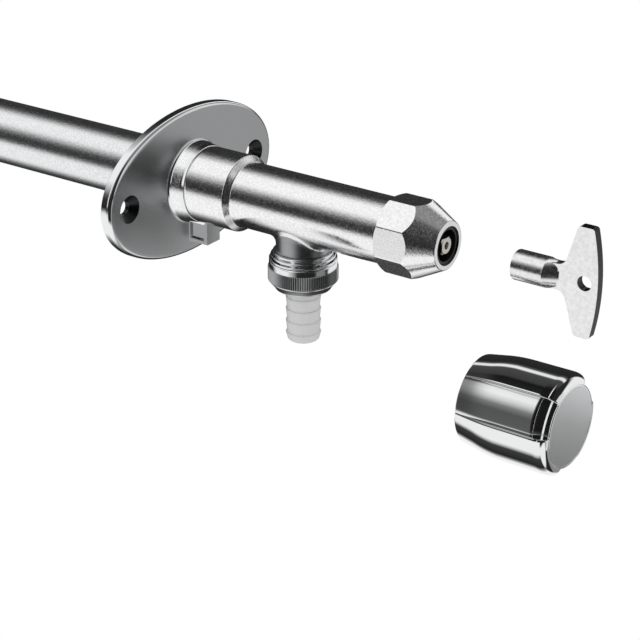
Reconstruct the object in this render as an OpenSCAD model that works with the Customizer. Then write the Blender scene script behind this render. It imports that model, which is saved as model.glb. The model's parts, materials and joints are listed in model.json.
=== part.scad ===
// Frost free sillcock with its hose union, its loose socket key and its knob.
// The origin is the centre of the flange's back face, on the tap axis.
// +X points out of the wall along the tap axis, +Z is up, the outlet points down.

/* [Wall tube] */
// Outer diameter of the tube through the wall
tube_d = 30; // [28:0.5:32]
// Wall thickness of the tube
tube_wall = 2; // [1.5:0.1:2.4]
// Length of the tube behind the wall face
tube_back = 260; // [220:5:460]

/* [Flange] */
// Width of the oval flange
flange_w = 117; // [110:1:130]
// Height of the oval flange
flange_h = 68; // [62:1:76]
// Thickness of the flange plate
flange_t = 5.4; // [4:0.1:7]
// Radius of the rounded rim
rim_r = 2.4; // [1:0.1:3]
// Distance between the two wall screws
screw_pitch = 90; // [80:1:94]
// Diameter of the wall screw holes
screw_hole_d = 6.4; // [5.5:0.1:7]
// Diameter of the countersink at the face
sink_d = 12.8; // [11:0.1:13.4]
// Outer diameter of the collar at its front edge
collar_d = 36; // [34:0.5:40]
// How far the collar's front edge stands off the wall
collar_x = 13.3; // [11:0.1:16]
// Width of the lug under the collar
lug_w = 9.2; // [8.8:0.1:11]
// How far the lug stands off the wall
lug_x = 16; // [13:0.5:18]
// How far the lug reaches below the tap axis
lug_z = 28; // [26:0.5:31]
// Depth of the pockets in the lug's cheeks
pocket_depth = 1.9; // [0.5:0.1:2.1]
// Diameter of the clamping screw in the lug
clamp_screw_d = 4; // [3:0.5:4]

/* [Tap body] */
// Outer diameter of the tap body
body_d = 29.6; // [28.6:0.1:31]
// Outer diameter of the socket that holds the tube
socket_d = 34.8; // [34:0.1:37]
// Depth of the tube in the socket
socket_depth = 20.5; // [17:0.5:24]
// Distance from the wall to the front end of the body
body_x = 113.6; // [108:0.2:120]
// Bore of the water way in the body
water_d = 24; // [22:0.5:25]
// Bore that takes the gland bush
gland_d = 20; // [18:0.5:20.5]
// Outer diameter of the thread for the nose nut
nose_thread_d = 26.2; // [25.6:0.1:26.8]
// Length of the thread for the nose nut
nose_thread_l = 13.3; // [10:0.1:13.6]

/* [Nose nut and gland] */
// Width across the flats of the octagon
nut_flats = 32.4; // [31.6:0.1:34]
// Length of the octagon along its corners
nut_hex_l = 14.1; // [12:0.1:16]
// Turn of the octagon where the nut has come tight, in degrees
nut_turn = 4.4; // [0:0.2:22]
// Length of the nose nut
nut_l = 27.4; // [26:0.1:30]
// Outer diameter of the rim round the keyhole
nose_rim_d = 21.2; // [19:0.2:23]
// Bore of the nose that the gland bush fills
nose_bore_d = 16; // [15:0.2:17]
// Diameter of the keyhole in the gland bush
keyhole_d = 14; // [13.6:0.1:14.6]
// Thickness of the gland bush's flange
gland_flange_t = 2.2; // [1.5:0.1:2.6]

/* [Spindle] */
// Diameter of the journal in the gland
journal_d = 10; // [9:0.5:11]
// Width across the flats of the square drive
square_w = 7; // [6:0.25:7]
// Length of the square drive
square_l = 8.8; // [7:0.2:9.4]
// Diameter of the centring hole in the spindle's end
end_hole_d = 3.3; // [2.5:0.1:4]
// Depth of the hole in the spindle's end
end_hole_l = 1.4; // [1:0.1:3]
// Diameter of the long rod
rod_d = 8; // [6:0.5:8.5]
// Outer diameter of the sleeves that hold the rod
sleeve_d = 12; // [11:0.5:13]
// Diameter of the cross pins
pin_d = 2.5; // [2:0.25:3]

/* [Rear valve] */
// Turns from shut to fully open
valve_turns = 3; // [2:0.5:3]
// Pitch of the valve thread
valve_pitch = 1.5; // [1:0.25:1.5]
// Bore of the valve seat
seat_d = 12; // [10:0.5:12.5]
// Diameter of the seat washer
washer_d = 16.4; // [15.6:0.2:17]
// Thickness of the seat washer
washer_t = 3.4; // [2.5:0.1:3.6]
// Bore of the chamber that the plunger slides in
chamber_d = 20.8; // [20.2:0.1:21.4]
// Diameter of the valve thread
valve_thread_d = 10; // [8:0.5:10.5]
// Width across the flats of the hexagon at the inlet
inlet_flats = 25.5; // [24.5:0.1:25.8]
// Bore of the inlet thread
inlet_thread_d = 20.96; // [20.5:0.02:21.2]
// Depth of the inlet thread
inlet_depth = 16; // [14:0.5:20]

/* [Outlet] */
// Distance from the wall to the outlet's axis
outlet_x = 66.2; // [58:0.2:80]
// Outer diameter of the outlet neck
neck_d = 24.2; // [23:0.2:25]
// Depth of the neck's lower face below the tap axis
neck_z = 19.2; // [18.6:0.1:21]
// Reach of the fillet between the neck and the body
neck_fillet_r = 3.2; // [1.5:0.1:3.4]
// Bore of the outlet port
port_d = 15; // [13:0.5:16]
// Outer diameter of the widest vent ring
ring_d = 30.4; // [29.5:0.1:31.2]
// Height of one vent ring
ring_h = 1; // [0.9:0.1:1.4]
// Height of the groove between two rings
groove_h = 0.6; // [0.4:0.1:0.8]
// Outer diameter of the hose thread
hose_thread_d = 26.4; // [25.8:0.1:26.8]
// Number of vent holes
vent_count = 8; // [4:1:12]
// Outer diameter of the union nut over its knurl
union_d = 31.5; // [30.6:0.1:34]
// Height of the union nut
union_h = 13.2; // [12.6:0.1:14]
// Height of the knurled band
knurl_h = 6.3; // [4:0.1:6.8]
// Number of grooves in the knurl
knurl_count = 96; // [48:4:120]
// Depth of the knurl
knurl_depth = 0.35; // [0.2:0.05:0.5]

/* [Hose tail] */
// Diameter over the barbs
barb_d = 15.8; // [14.8:0.1:16.2]
// Distance from one barb to the next
barb_pitch = 5.7; // [5:0.1:6.5]
// Number of barbs
barb_count = 4; // [3:1:5]
// Depth of a barb's step
barb_step = 0.6; // [0.3:0.05:0.9]
// Bore of the hose tail
tail_bore_d = 10.4; // [9.6:0.1:11]

/* [Key] */
// Gap between the nose and the mouth of the loose key
key_gap = 33.4; // [20:0.2:60]
// Outer diameter of the key's barrel
key_barrel_d = 13; // [11.6:0.1:13.2]
// Length of the key's barrel
key_barrel_l = 14.9; // [14.5:0.1:20]
// Depth of the square in the barrel
key_square_depth = 14; // [11:0.5:14]
// Height of the key's handle plate
key_plate_h = 48; // [40:1:56]
// Thickness of the key's handle plate
key_plate_t = 4.2; // [3:0.1:5]
// Width of the handle plate at the middle
key_plate_w = 15.6; // [14:0.2:18]
// Diameter of the hanging hole
key_hole_d = 6.5; // [5:0.1:7]

/* [Knob] */
// Distance of the taken off knob below the tap axis
knob_drop = 66.2; // [62:0.2:90]
// Distance from the wall to the knob's open end
knob_x = 158.4; // [150:0.2:190]
// Length of the knob
knob_l = 45; // [43:0.1:50]
// Diameter over the three lobes
knob_d = 45; // [43.6:0.2:48]
// Diameter of the knob at its open end
knob_back_d = 39.6; // [38.6:0.2:41]
// How far the grip faces lie below the lobes
grip_depth = 2.2; // [1.2:0.1:2.6]
// Width of a lobe round the knob, in degrees
lobe_width = 74; // [60:1:84]
// Turn of the first lobe from straight up, towards +Y
lobe_turn = -2; // [-20:1:20]
// Bore of the knob's open end
knob_bore_d = 32.4; // [30:0.2:33]
// Diameter of the cap disc
cap_d = 36; // [34:0.2:36.4]

/* [Fits] */
// Radial clearance where a piece turns or slides
run_gap = 0.05; // [0.03:0.01:0.08]
// Radial clearance where a piece is fitted and stays
fit_gap = 0.03; // [0.02:0.01:0.05]
// Gap left between faces that close on each other
face_gap = 0.05; // [0.02:0.01:0.1]

/* [Hidden] */
$fn = 72;
// Small overlap that keeps a cut clear of the face that it goes through
cut = 1;

// Radii along the tap axis
tube_r = tube_d / 2;
tube_in_r = tube_r - tube_wall;
body_r = body_d / 2;
socket_r = socket_d / 2;
water_r = water_d / 2;
gland_r = gland_d / 2;
nose_thread_r = nose_thread_d / 2;
nose_rim_r = nose_rim_d / 2;
nose_bore_r = nose_bore_d / 2;
journal_r = journal_d / 2;
rod_r = rod_d / 2;
sleeve_r = sleeve_d / 2;

// Stations along the tap axis
tube_end_x = -tube_back;
socket_x = collar_x + 0.2;
socket_floor_x = socket_x + socket_depth;
shoulder_l = 3.6;
shoulder_x = socket_floor_x + 0.6;
thread_end_x = body_x + nose_thread_l;
gland_flange_x = thread_end_x + face_gap;
nut_x = body_x + 0.1;
nut_shoulder_x = gland_flange_x + gland_flange_t + face_gap;
nut_corner_x = nut_x + nut_hex_l;
nose_x = nut_x + nut_l;
gland_back_x = nut_corner_x - 21.6;
square_end_x = nose_x - 0.8;
square_x = square_end_x - square_l;
keyhole_floor_x = square_x;
washer_x = gland_back_x - face_gap;
thrust_t = 1.2;
collar_front_x = washer_x - thrust_t - face_gap;
thrust_collar_t = 4.4;
thrust_r = journal_r + 3.2;
spindle_back_x = collar_front_x - thrust_collar_t - 16;
rod_seat = 14;
water_front_x = gland_back_x - 2.2;

// The rear valve, counted from the end of the tube
spigot_l = 22;
chamber_r = chamber_d / 2;
seat_r = seat_d / 2;
valve_thread_r = valve_thread_d / 2;
seat_x = tube_end_x - 4;
seat_lip = 1.3;
seat_lip_h = 2.5;
valve_travel = valve_turns * valve_pitch;
plunger_x = seat_x + 1.4;
plunger_l = 14.6;
plunger_head_l = 5;
cup_depth = washer_t - 1.4;
fin_w = 7;
fin_count = 3;
fin_r = chamber_r - run_gap;
nut_floor_x = plunger_x + 5.8;
screw_tip_x = nut_floor_x + valve_travel + 0.5;
bearing_t = 3;
bearing_x = tube_end_x + spigot_l - bearing_t;
ring_t = 0.8;
ring_x = bearing_x - ring_t - 0.2;
stop_collar_x = bearing_x + bearing_t + face_gap;
stop_collar_t = 3;
screw_sleeve_x = stop_collar_x + stop_collar_t;
screw_sleeve_l = 15;
rod_back_x = screw_sleeve_x + 2;
rod_front_x = spindle_back_x + rod_seat;
pin_seat = [7, 6];
pin_x = [rod_back_x + pin_seat[0], spindle_back_x + pin_seat[1]];
guide_pin_x = plunger_x + 8.6;
inlet_hex_l = 12;
inlet_flange_l = 3;
inlet_back_x = tube_end_x - inlet_flange_l - inlet_hex_l - 15;
inlet_r = inlet_thread_d / 2;
inlet_body_r = inlet_flats / 2;

// Levels down the outlet, as heights on the tap's own Z axis
port_r = port_d / 2;
neck_r = neck_d / 2;
ring_r = ring_d / 2;
neck_low = -neck_z;
nipple_wall = 2.3;
nipple_r = port_r + nipple_wall;
nipple_l = 1.2;
nipple_low = neck_low - nipple_l;
vent_chamber_r = 10.95;
ring_pitch = ring_h + groove_h;
rings_low = neck_low - 3 * ring_h - 2 * groove_h;
vent_level = neck_low - 2 * ring_h - 1.5 * groove_h - 0.05;
vent_hole_d = 1;
float_h = 1.6;
float_play = 0.55;
vent_floor = neck_low - 5.4;
float_travel = (vent_level + vent_hole_d / 2) - (vent_floor + face_gap + float_h);
hose_thread_r = hose_thread_d / 2;
housing_low = neck_low - 11.7;
cartridge_r = 9.95;
cartridge_top = vent_floor - 0.4;
cartridge_flange_h = 4;
check_sleeve_r = 6.9;
check_sleeve_in_r = 6;
check_low = cartridge_top - 13;
check_seat_r = 4.2;
check_seat_h = 2;
poppet_r = 5;
poppet_h = 1.6;
poppet_top = cartridge_top - check_seat_h - face_gap;
poppet_stem_r = 1.2;
poppet_seal_h = 0.8;
check_travel = 3;
spider_h = 1;
spring_r = 3.2;
spring_wire = 0.6;
gasket_h = 1.5;
gasket_low = housing_low - gasket_h;
tail_flange_h = 2.1;
tail_flange_low = gasket_low - tail_flange_h;
union_r = union_d / 2;
union_top = rings_low - 0.3;
union_low = union_top - union_h;
union_lip_top = tail_flange_low - face_gap;
knurl_low = union_low + 4;
tail_neck_r = barb_d / 2 + 0.2;
tail_flange_r = hose_thread_r - 0.3;
barb_r = barb_d / 2;
tail_bore_r = tail_bore_d / 2;
tail_neck_l = 4.3;
barb_top = union_low - tail_neck_l;
tail_tip_l = 4.1;
tail_tip_top = barb_top - (barb_count - 1) * barb_pitch;
tail_low = tail_tip_top - tail_tip_l;
tail_seat_r = 7.05;
tail_seat_low = check_low - 0.6;

// The key, counted from its mouth
key_x = nose_x + key_gap;
key_barrel_r = key_barrel_d / 2;
key_square_w = square_w + 0.2;
key_front_x = key_x + key_barrel_l + 23.5;
key_push_l = key_x - keyhole_floor_x - 0.5;
key_shoulder_l = 6;
key_shoulder_h = 10;

// The knob, counted from its open end
knob_front_x = knob_x + knob_l;
knob_r = knob_d / 2;
knob_bore_r = knob_bore_d / 2;
cap_r = cap_d / 2;
cap_t = 1.7;
bezel_r = cap_r + 0.45;
knob_back_r = knob_back_d / 2;
grip_r = knob_r - grip_depth;
flare_x = knob_x + 14;
scoop_x = knob_front_x - 7.4;
scoop_end_x = knob_front_x - 1.2;
lobe_round_x = knob_front_x - 4.4;
web_x = knob_x + 28.5;
web_t = 4;
screw_well_r = 14;
adapter_r = 6.6;
adapter_x = knob_x + 1.5;
adapter_flange_x = knob_x + 12.5;
adapter_flange_t = 3;
knob_square_depth = 11;
lobe_count = 3;

// Turns a half outline of [radius, station] points round the tap axis
module turned(outline) {
    rotate([0, 90, 0])
        rotate_extrude()
            polygon([for (p = outline) [p[0], p[1]]]);
}

// A round bar or hole along the tap axis from station a to station b
module bar(a, b, r, sides = 72) {
    translate([a, 0, 0])
        rotate([0, 90, 0])
            cylinder(h = b - a, r = r, $fn = sides);
}

// Turns a half outline of [radius, level] points round the outlet's axis
module outlet_turned(outline) {
    translate([outlet_x, 0, 0])
        rotate_extrude()
            polygon(outline);
}

// A round bar or hole on the outlet's axis from the low to the high level
module post(low, high, r, sides = 72) {
    translate([outlet_x, 0, low])
        cylinder(h = high - low, r = r, $fn = sides);
}

// Points of an arc round a centre, with both its ends
function arc(c, r, a0, a1, steps = 6) =
    [for (i = [0:steps]) c + r * [cos(a0 + (a1 - a0) * i / steps), sin(a0 + (a1 - a0) * i / steps)]];

// Points of a smooth bend that leaves a towards b and comes into c from b
function bend(a, b, c, steps = 6) =
    [for (i = [0:steps]) let (t = i / steps) (1 - t) * (1 - t) * a + 2 * t * (1 - t) * b + t * t * c];

// An upright ellipse in the flange's plane, as a thin plate at station x
module oval_slice(x, inset, thickness) {
    points = 72;
    translate([x, 0, 0])
        rotate([90, 0, 90])
            linear_extrude(thickness)
                polygon([for (i = [0:points - 1])
                    [(flange_w / 2 - inset) * cos(360 * i / points),
                     (flange_h / 2 - inset) * sin(360 * i / points)]]);
}

module wall_tube() {
    color("silver")
        difference() {
            bar(tube_end_x, socket_floor_x, tube_r);
            bar(tube_end_x - cut, socket_floor_x + cut, tube_in_r);
        }
}

// The plate with its rim rounded over towards the room
module flange_plate() {
    slice = 0.05;
    hull() {
        oval_slice(0, 0.5, slice);
        oval_slice(0.5, 0, slice);
        for (a = [0:22.5:90])
            oval_slice(flange_t - slice - rim_r * (1 - sin(a)), rim_r * (1 - cos(a)), slice);
    }
}

module flange_collar() {
    fillet_r = 1.6;
    root_r = collar_d / 2 + 0.5;
    turned(concat(
        [[tube_r - 2, 1], [tube_r - 2, collar_x], [collar_d / 2 - 0.9, collar_x],
         [collar_d / 2, collar_x - 0.9]],
        [for (p = arc([root_r + fillet_r, flange_t + fillet_r], fillet_r, 180, 270, 5)) p],
        [[root_r + fillet_r, 1]]));
}

// The lug that carries the clamping screw, with a pocket in each cheek
module flange_lug() {
    front_wall = 2.2;
    floor_wall = 1.9;
    pocket_top = -collar_d / 2 - 0.6;
    pocket_x = flange_t + 0.8;
    difference() {
        translate([1, -lug_w / 2, -lug_z])
            cube([lug_x - 1, lug_w, lug_z - tube_r - 1]);
        for (side = [-1, 1])
            translate([pocket_x, side * (lug_w / 2 - pocket_depth / 2 + cut / 2), -lug_z + floor_wall])
                translate([0, -(pocket_depth + cut) / 2, 0])
                    cube([lug_x - front_wall - pocket_x, pocket_depth + cut,
                          lug_z - floor_wall + pocket_top]);
    }
}

clamp_screw_x = (flange_t + lug_x) / 2;

module wall_flange() {
    color("gray")
        difference() {
            union() {
                flange_plate();
                flange_collar();
                flange_lug();
            }
            bar(-cut, lug_x + cut, tube_r + run_gap);
            // Room for the socket of the body above the front of the lug
            bar(collar_x, lug_x + cut, socket_r + 0.3);
            translate([clamp_screw_x, 0, -lug_z - cut])
                cylinder(h = lug_z, r = clamp_screw_d / 2 + fit_gap, $fn = 32);
            for (side = [-1, 1])
                translate([0, side * screw_pitch / 2, 0]) {
                    bar(-cut, flange_t + cut, screw_hole_d / 2, 32);
                    // Countersink for a flat head screw
                    turned([[0, flange_t - (sink_d - screw_hole_d) / 2 - 0.01],
                            [screw_hole_d / 2, flange_t - (sink_d - screw_hole_d) / 2],
                            [sink_d / 2, flange_t], [sink_d / 2, flange_t + cut],
                            [0, flange_t + cut]]);
                }
        }
}

module clamp_screw() {
    tip_z = -tube_r - face_gap;
    head_z = -lug_z + 0.6;
    r = clamp_screw_d / 2;
    color("dimgray")
        translate([clamp_screw_x, 0, 0])
            difference() {
                rotate_extrude($fn = 32)
                    polygon([[0, head_z], [r - 0.3, head_z], [r, head_z + 0.3],
                             [r, tip_z - 0.8], [r - 0.8, tip_z], [0, tip_z]]);
                translate([0, 0, head_z - cut])
                    cylinder(h = 2 + cut, r = r * 0.58, $fn = 6);
            }
}

// The casting from the tube socket to the thread of the nose nut
module body_barrel() {
    round_r = 1.2;
    fillet_r = 1.6;
    turned(concat(
        [[tube_r - 1, socket_x], [socket_r - 0.6, socket_x], [socket_r, socket_x + 0.6]],
        arc([socket_r - round_r, shoulder_x - round_r + 0.2], round_r, 0, 60, 4),
        [for (p = arc([body_r + fillet_r, shoulder_x + shoulder_l], fillet_r, 240, 180, 4)) p],
        [[body_r, body_x - 0.4], [body_r - 0.4, body_x], [nose_thread_r, body_x],
         [nose_thread_r, thread_end_x - 0.8], [nose_thread_r - 0.8, thread_end_x],
         [gland_r - 1, thread_end_x]]));
}

// Height of the barrel's underside above or below a point that lies y off the middle plane
function underside(y) = -sqrt(body_r * body_r - y * y);

// Section of the fillet that runs round the neck, at the angle a: it leaves the neck and ends in the barrel
function fillet_section(a) =
    let (bite = 0.25,
         reach = neck_fillet_r * (1 - 0.75 * sin(a) * sin(a)),
         seam_z = underside(neck_r * sin(a)),
         top_r = neck_r + reach,
         curve = bend([neck_r - bite, seam_z - neck_fillet_r], [neck_r + bite / 4, seam_z],
                      [top_r, underside(top_r * sin(a)) + bite], 5))
    [for (p = curve) [p[0] * cos(a), p[0] * sin(a), p[1]]];

// The fillet as one skin of sections, closed by two cones that lie inside the casting
module neck_fillet() {
    sides = 48;
    sections = [for (i = [0:sides - 1]) fillet_section(360 * i / sides)];
    rows = len(sections[0]);
    points = concat([for (s = sections) for (p = s) p], [[0, 0, neck_low + 1], [0, 0, 0]]);
    bottom = sides * rows;
    translate([outlet_x, 0, 0])
        polyhedron(points, concat(
            [for (i = [0:sides - 1]) let (a = i * rows, b = (i + 1) % sides * rows)
                for (k = [0:rows - 2])
                    for (f = [[a + k, a + k + 1, b + k + 1], [a + k, b + k + 1, b + k]])
                        f],
            [for (i = [0:sides - 1]) let (a = i * rows, b = (i + 1) % sides * rows)
                for (f = [[bottom, a, b], [bottom + 1, b + rows - 1, a + rows - 1]])
                    f]));
}

module outlet_neck() {
    outlet_turned([[0, neck_low], [neck_r - 0.3, neck_low], [neck_r, neck_low + 0.3], [neck_r, -2], [0, -2]]);
    neck_fillet();
    post(nipple_low, neck_low + 1, nipple_r);
}

module tap_body() {
    color("lightsteelblue")
        difference() {
            union() {
                body_barrel();
                outlet_neck();
            }
            bar(socket_x - cut, socket_floor_x, tube_r + fit_gap);
            bar(socket_floor_x - cut, water_front_x, water_r);
            bar(water_front_x - cut, thread_end_x + cut, gland_r);
            post(nipple_low - cut, 0, port_r);
        }
}

module nose_nut() {
    octagon_r = nut_flats / 2 / cos(22.5);
    flat_r = nut_flats / 2;
    color("lightgray")
        difference() {
            intersection() {
                translate([nut_x, 0, 0])
                    rotate([0, 90, 0])
                        rotate([0, 0, 22.5 - nut_turn])
                            cylinder(h = nut_l, r = octagon_r, $fn = 8);
                turned([[0, nut_x], [octagon_r - 0.5, nut_x], [octagon_r + 0.01, nut_x + 0.5],
                        [octagon_r + 0.01, nut_corner_x], [flat_r + 0.3, nut_corner_x + 1],
                        [flat_r, nut_corner_x + 2.2], [flat_r - 0.7, nut_corner_x + 4.2],
                        [nose_rim_r + 0.4, nose_x - 0.5],
                        [nose_rim_r, nose_x], [0, nose_x]]);
            }
            bar(nut_x - cut, nut_shoulder_x, nose_thread_r + fit_gap);
            bar(nut_x, nose_x + cut, nose_bore_r);
            turned([[0, nose_x - 0.6], [nose_bore_r, nose_x - 0.6], [nose_bore_r + 0.6, nose_x],
                    [nose_bore_r + 0.6, nose_x + cut], [0, nose_x + cut]]);
        }
}

// Section of an O-ring groove, or of the ring that lies in it
gland_ring_d = 1.8;
gland_ring_back = 8;
gland_ring_x = gland_back_x + gland_ring_back;
spindle_ring_d = 1.8;
spindle_ring_back = [4, 13];
spindle_ring_x = [for (back = spindle_ring_back) gland_back_x + back];

module gland_bush() {
    groove = 2.2;
    bush_r = gland_r - run_gap;
    color("black")
        difference() {
            union() {
                bar(gland_back_x, gland_flange_x + 0.5, bush_r);
                bar(gland_flange_x, gland_flange_x + gland_flange_t, nose_thread_r - 0.2);
                bar(gland_flange_x, nose_x - 0.7, nose_bore_r - fit_gap);
            }
            bar(gland_back_x - cut, keyhole_floor_x + cut, journal_r + run_gap);
            bar(keyhole_floor_x, nose_x + cut, keyhole_d / 2);
            difference() {
                bar(gland_ring_x - groove / 2, gland_ring_x + groove / 2, gland_r + cut);
                bar(gland_ring_x - groove, gland_ring_x + groove, gland_r - gland_ring_d - 0.02);
            }
        }
}

module gland_o_ring() {
    color("dimgray")
        translate([gland_ring_x, 0, 0])
            rotate([0, 90, 0])
                rotate_extrude()
                    translate([gland_r - gland_ring_d / 2 - 0.02, 0])
                        circle(d = gland_ring_d - 0.04, $fn = 24);
}

module thrust_washer() {
    color("ivory")
        difference() {
            bar(washer_x - thrust_t, washer_x, thrust_r);
            bar(washer_x - thrust_t - cut, washer_x + cut, journal_r + 0.1);
        }
}

module drive_spindle() {
    corner_r = square_w / 2 * 1.26;
    groove_r = journal_r - spindle_ring_d + 0.35;
    color("goldenrod")
        difference() {
            union() {
                bar(spindle_back_x, collar_front_x, sleeve_r);
                bar(collar_front_x - thrust_collar_t, collar_front_x, thrust_r);
                bar(collar_front_x - 1, square_x, journal_r);
                intersection() {
                    translate([square_x - 1, -square_w / 2, -square_w / 2])
                        cube([square_l + 1, square_w, square_w]);
                    turned([[0, square_x - 1], [corner_r, square_x - 1], [corner_r, square_end_x - 0.6],
                            [corner_r - 0.9, square_end_x], [0, square_end_x]]);
                }
            }
            bar(spindle_back_x - cut, rod_front_x + 0.3, rod_r + fit_gap);
            bar(square_end_x - end_hole_l, square_end_x + cut, end_hole_d / 2, 32);
            for (x = spindle_ring_x)
                difference() {
                    bar(x - 1.1, x + 1.1, journal_r + cut);
                    bar(x - 2, x + 2, groove_r);
                }
            translate([pin_x[1], 0, -sleeve_r - cut])
                cylinder(h = 2 * (sleeve_r + cut), r = pin_d / 2 + fit_gap, $fn = 32);
        }
}

module spindle_o_rings() {
    groove_r = journal_r - spindle_ring_d + 0.35;
    section = journal_r + run_gap - groove_r - 0.04;
    color("black")
        for (x = spindle_ring_x)
            translate([x, 0, 0])
                rotate([0, 90, 0])
                    rotate_extrude()
                        translate([groove_r + 0.02 + section / 2, 0])
                            circle(d = section, $fn = 24);
}

module stem_rod() {
    color("gainsboro")
        difference() {
            bar(rod_back_x, rod_front_x, rod_r);
            for (x = pin_x)
                translate([x, 0, -rod_r - cut])
                    cylinder(h = 2 * (rod_r + cut), r = pin_d / 2 + fit_gap, $fn = 32);
        }
}

module stem_pins() {
    color("slategray")
        for (x = pin_x)
            translate([x, 0, -sleeve_r])
                cylinder(h = 2 * sleeve_r, r = pin_d / 2, $fn = 32);
}

// Stars that keep the rod on the axis of the tube
module rod_guides() {
    guide_l = 12;
    arm_w = 3;
    color("white")
        for (x = [tube_end_x + tube_back * 0.36, tube_end_x + tube_back * 0.72, collar_x - guide_l])
            difference() {
                intersection() {
                    union() {
                        bar(x, x + guide_l, rod_r + 2.2);
                        for (a = [90, 210, 330])
                            rotate([a, 0, 0])
                                translate([x, 0, -arm_w / 2])
                                    cube([guide_l, tube_in_r, arm_w]);
                    }
                    bar(x, x + guide_l, tube_in_r - run_gap);
                }
                bar(x - cut, x + guide_l + cut, rod_r + run_gap);
            }
}

module screw_spindle() {
    color("goldenrod")
        difference() {
            union() {
                bar(screw_tip_x, screw_sleeve_x, valve_thread_r);
                bar(stop_collar_x, screw_sleeve_x, sleeve_r + 1);
                bar(screw_sleeve_x - 1, screw_sleeve_x + screw_sleeve_l, sleeve_r);
            }
            bar(rod_back_x - 0.3, screw_sleeve_x + screw_sleeve_l + cut, rod_r + fit_gap);
            difference() {
                bar(ring_x, ring_x + ring_t, valve_thread_r + cut);
                bar(ring_x - cut, ring_x + ring_t + cut, valve_thread_r - 0.7);
            }
            translate([pin_x[0], 0, -sleeve_r - cut])
                cylinder(h = 2 * (sleeve_r + cut), r = pin_d / 2 + fit_gap, $fn = 32);
        }
}

// The open ring that snaps into the groove behind the bearing
module retaining_ring() {
    color("slategray")
        difference() {
            bar(ring_x + 0.04, ring_x + ring_t - 0.04, valve_thread_r + 1.6);
            bar(ring_x - cut, ring_x + ring_t + cut, valve_thread_r - 0.66);
            translate([ring_x - cut, -1.5, 0])
                cube([ring_t + 2 * cut, 3, valve_thread_r + 3]);
        }
}

// The wheel that holds the screw spindle and lets the water past
module spindle_bearing() {
    outer_r = chamber_r - fit_gap;
    color("peru")
        difference() {
            intersection() {
                union() {
                    bar(bearing_x, bearing_x + bearing_t, valve_thread_r + 1.9);
                    difference() {
                        bar(bearing_x, bearing_x + bearing_t, outer_r);
                        bar(bearing_x - cut, bearing_x + bearing_t + cut, outer_r - 1.5);
                    }
                    for (a = [30, 150, 270])
                        rotate([a, 0, 0])
                            translate([bearing_x, 0, -1.5])
                                cube([bearing_t, outer_r, 3]);
                }
                bar(bearing_x, bearing_x + bearing_t, outer_r);
            }
            bar(bearing_x - cut, bearing_x + bearing_t + cut, valve_thread_r + run_gap);
        }
}

module valve_body() {
    seat_back_x = inlet_back_x + inlet_depth;
    color("peru")
        difference() {
            union() {
                bar(tube_end_x - 1, tube_end_x + spigot_l, tube_in_r - fit_gap);
                bar(tube_end_x - inlet_flange_l, tube_end_x - face_gap, tube_r);
                translate([tube_end_x - inlet_flange_l - inlet_hex_l, 0, 0])
                    rotate([0, 90, 0])
                        cylinder(h = inlet_hex_l, r = inlet_flats / 2 / cos(30), $fn = 6);
                bar(inlet_back_x, tube_end_x - inlet_flange_l, inlet_body_r);
            }
            bar(inlet_back_x - cut, seat_back_x, inlet_r);
            bar(seat_back_x - cut, seat_x + cut, seat_r);
            difference() {
                bar(seat_x - seat_lip_h, tube_end_x + spigot_l + cut, chamber_r);
                bar(seat_x - seat_lip_h - cut, seat_x, seat_r + seat_lip);
            }
            translate([guide_pin_x, 0, 0])
                cylinder(h = tube_r, r = pin_d / 2 + fit_gap, $fn = 32);
        }
}

module guide_pin() {
    color("slategray")
        translate([guide_pin_x, 0, fin_r - 1.6])
            cylinder(h = tube_in_r - 0.1 - (fin_r - 1.6), r = pin_d / 2, $fn = 32);
}

// The plunger does not turn: its top fin rides on the guide pin
module valve_plunger() {
    head_r = washer_d / 2 + 1.2;
    end_x = plunger_x + plunger_l;
    slot_x = guide_pin_x - valve_travel - pin_d / 2 - 0.3;
    color("goldenrod")
        difference() {
            union() {
                bar(plunger_x, plunger_x + plunger_head_l, head_r);
                bar(plunger_x + 1, end_x, valve_thread_r + 2.4);
                intersection() {
                    for (i = [0:fin_count - 1])
                        rotate([90 + 360 * i / fin_count, 0, 0])
                            translate([plunger_x + 2.2, 0, -fin_w / 2])
                                cube([plunger_l - 2.2, fin_r, fin_w]);
                    bar(plunger_x, end_x, fin_r);
                }
            }
            bar(plunger_x - cut, plunger_x + cup_depth, washer_d / 2 + run_gap);
            bar(nut_floor_x, end_x + cut, valve_thread_r + run_gap);
            bar(plunger_x, nut_floor_x - 0.6, 2 + fit_gap, 32);
            translate([slot_x, -pin_d / 2 - 0.1, fin_r - 1.9])
                cube([plunger_l + plunger_x - slot_x + cut, pin_d + 0.2, 3]);
        }
}

module seat_washer() {
    back_x = plunger_x + cup_depth;
    color("black")
        difference() {
            bar(seat_x + face_gap, back_x - 0.01, washer_d / 2);
            bar(seat_x - cut, back_x + cut, 2 + fit_gap, 32);
        }
}

module washer_screw() {
    color("peru")
        union() {
            bar(seat_x - 2.2, seat_x + face_gap - 0.02, 3.4, 32);
            bar(seat_x - 1, nut_floor_x - 0.7, 2, 32);
        }
}

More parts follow.
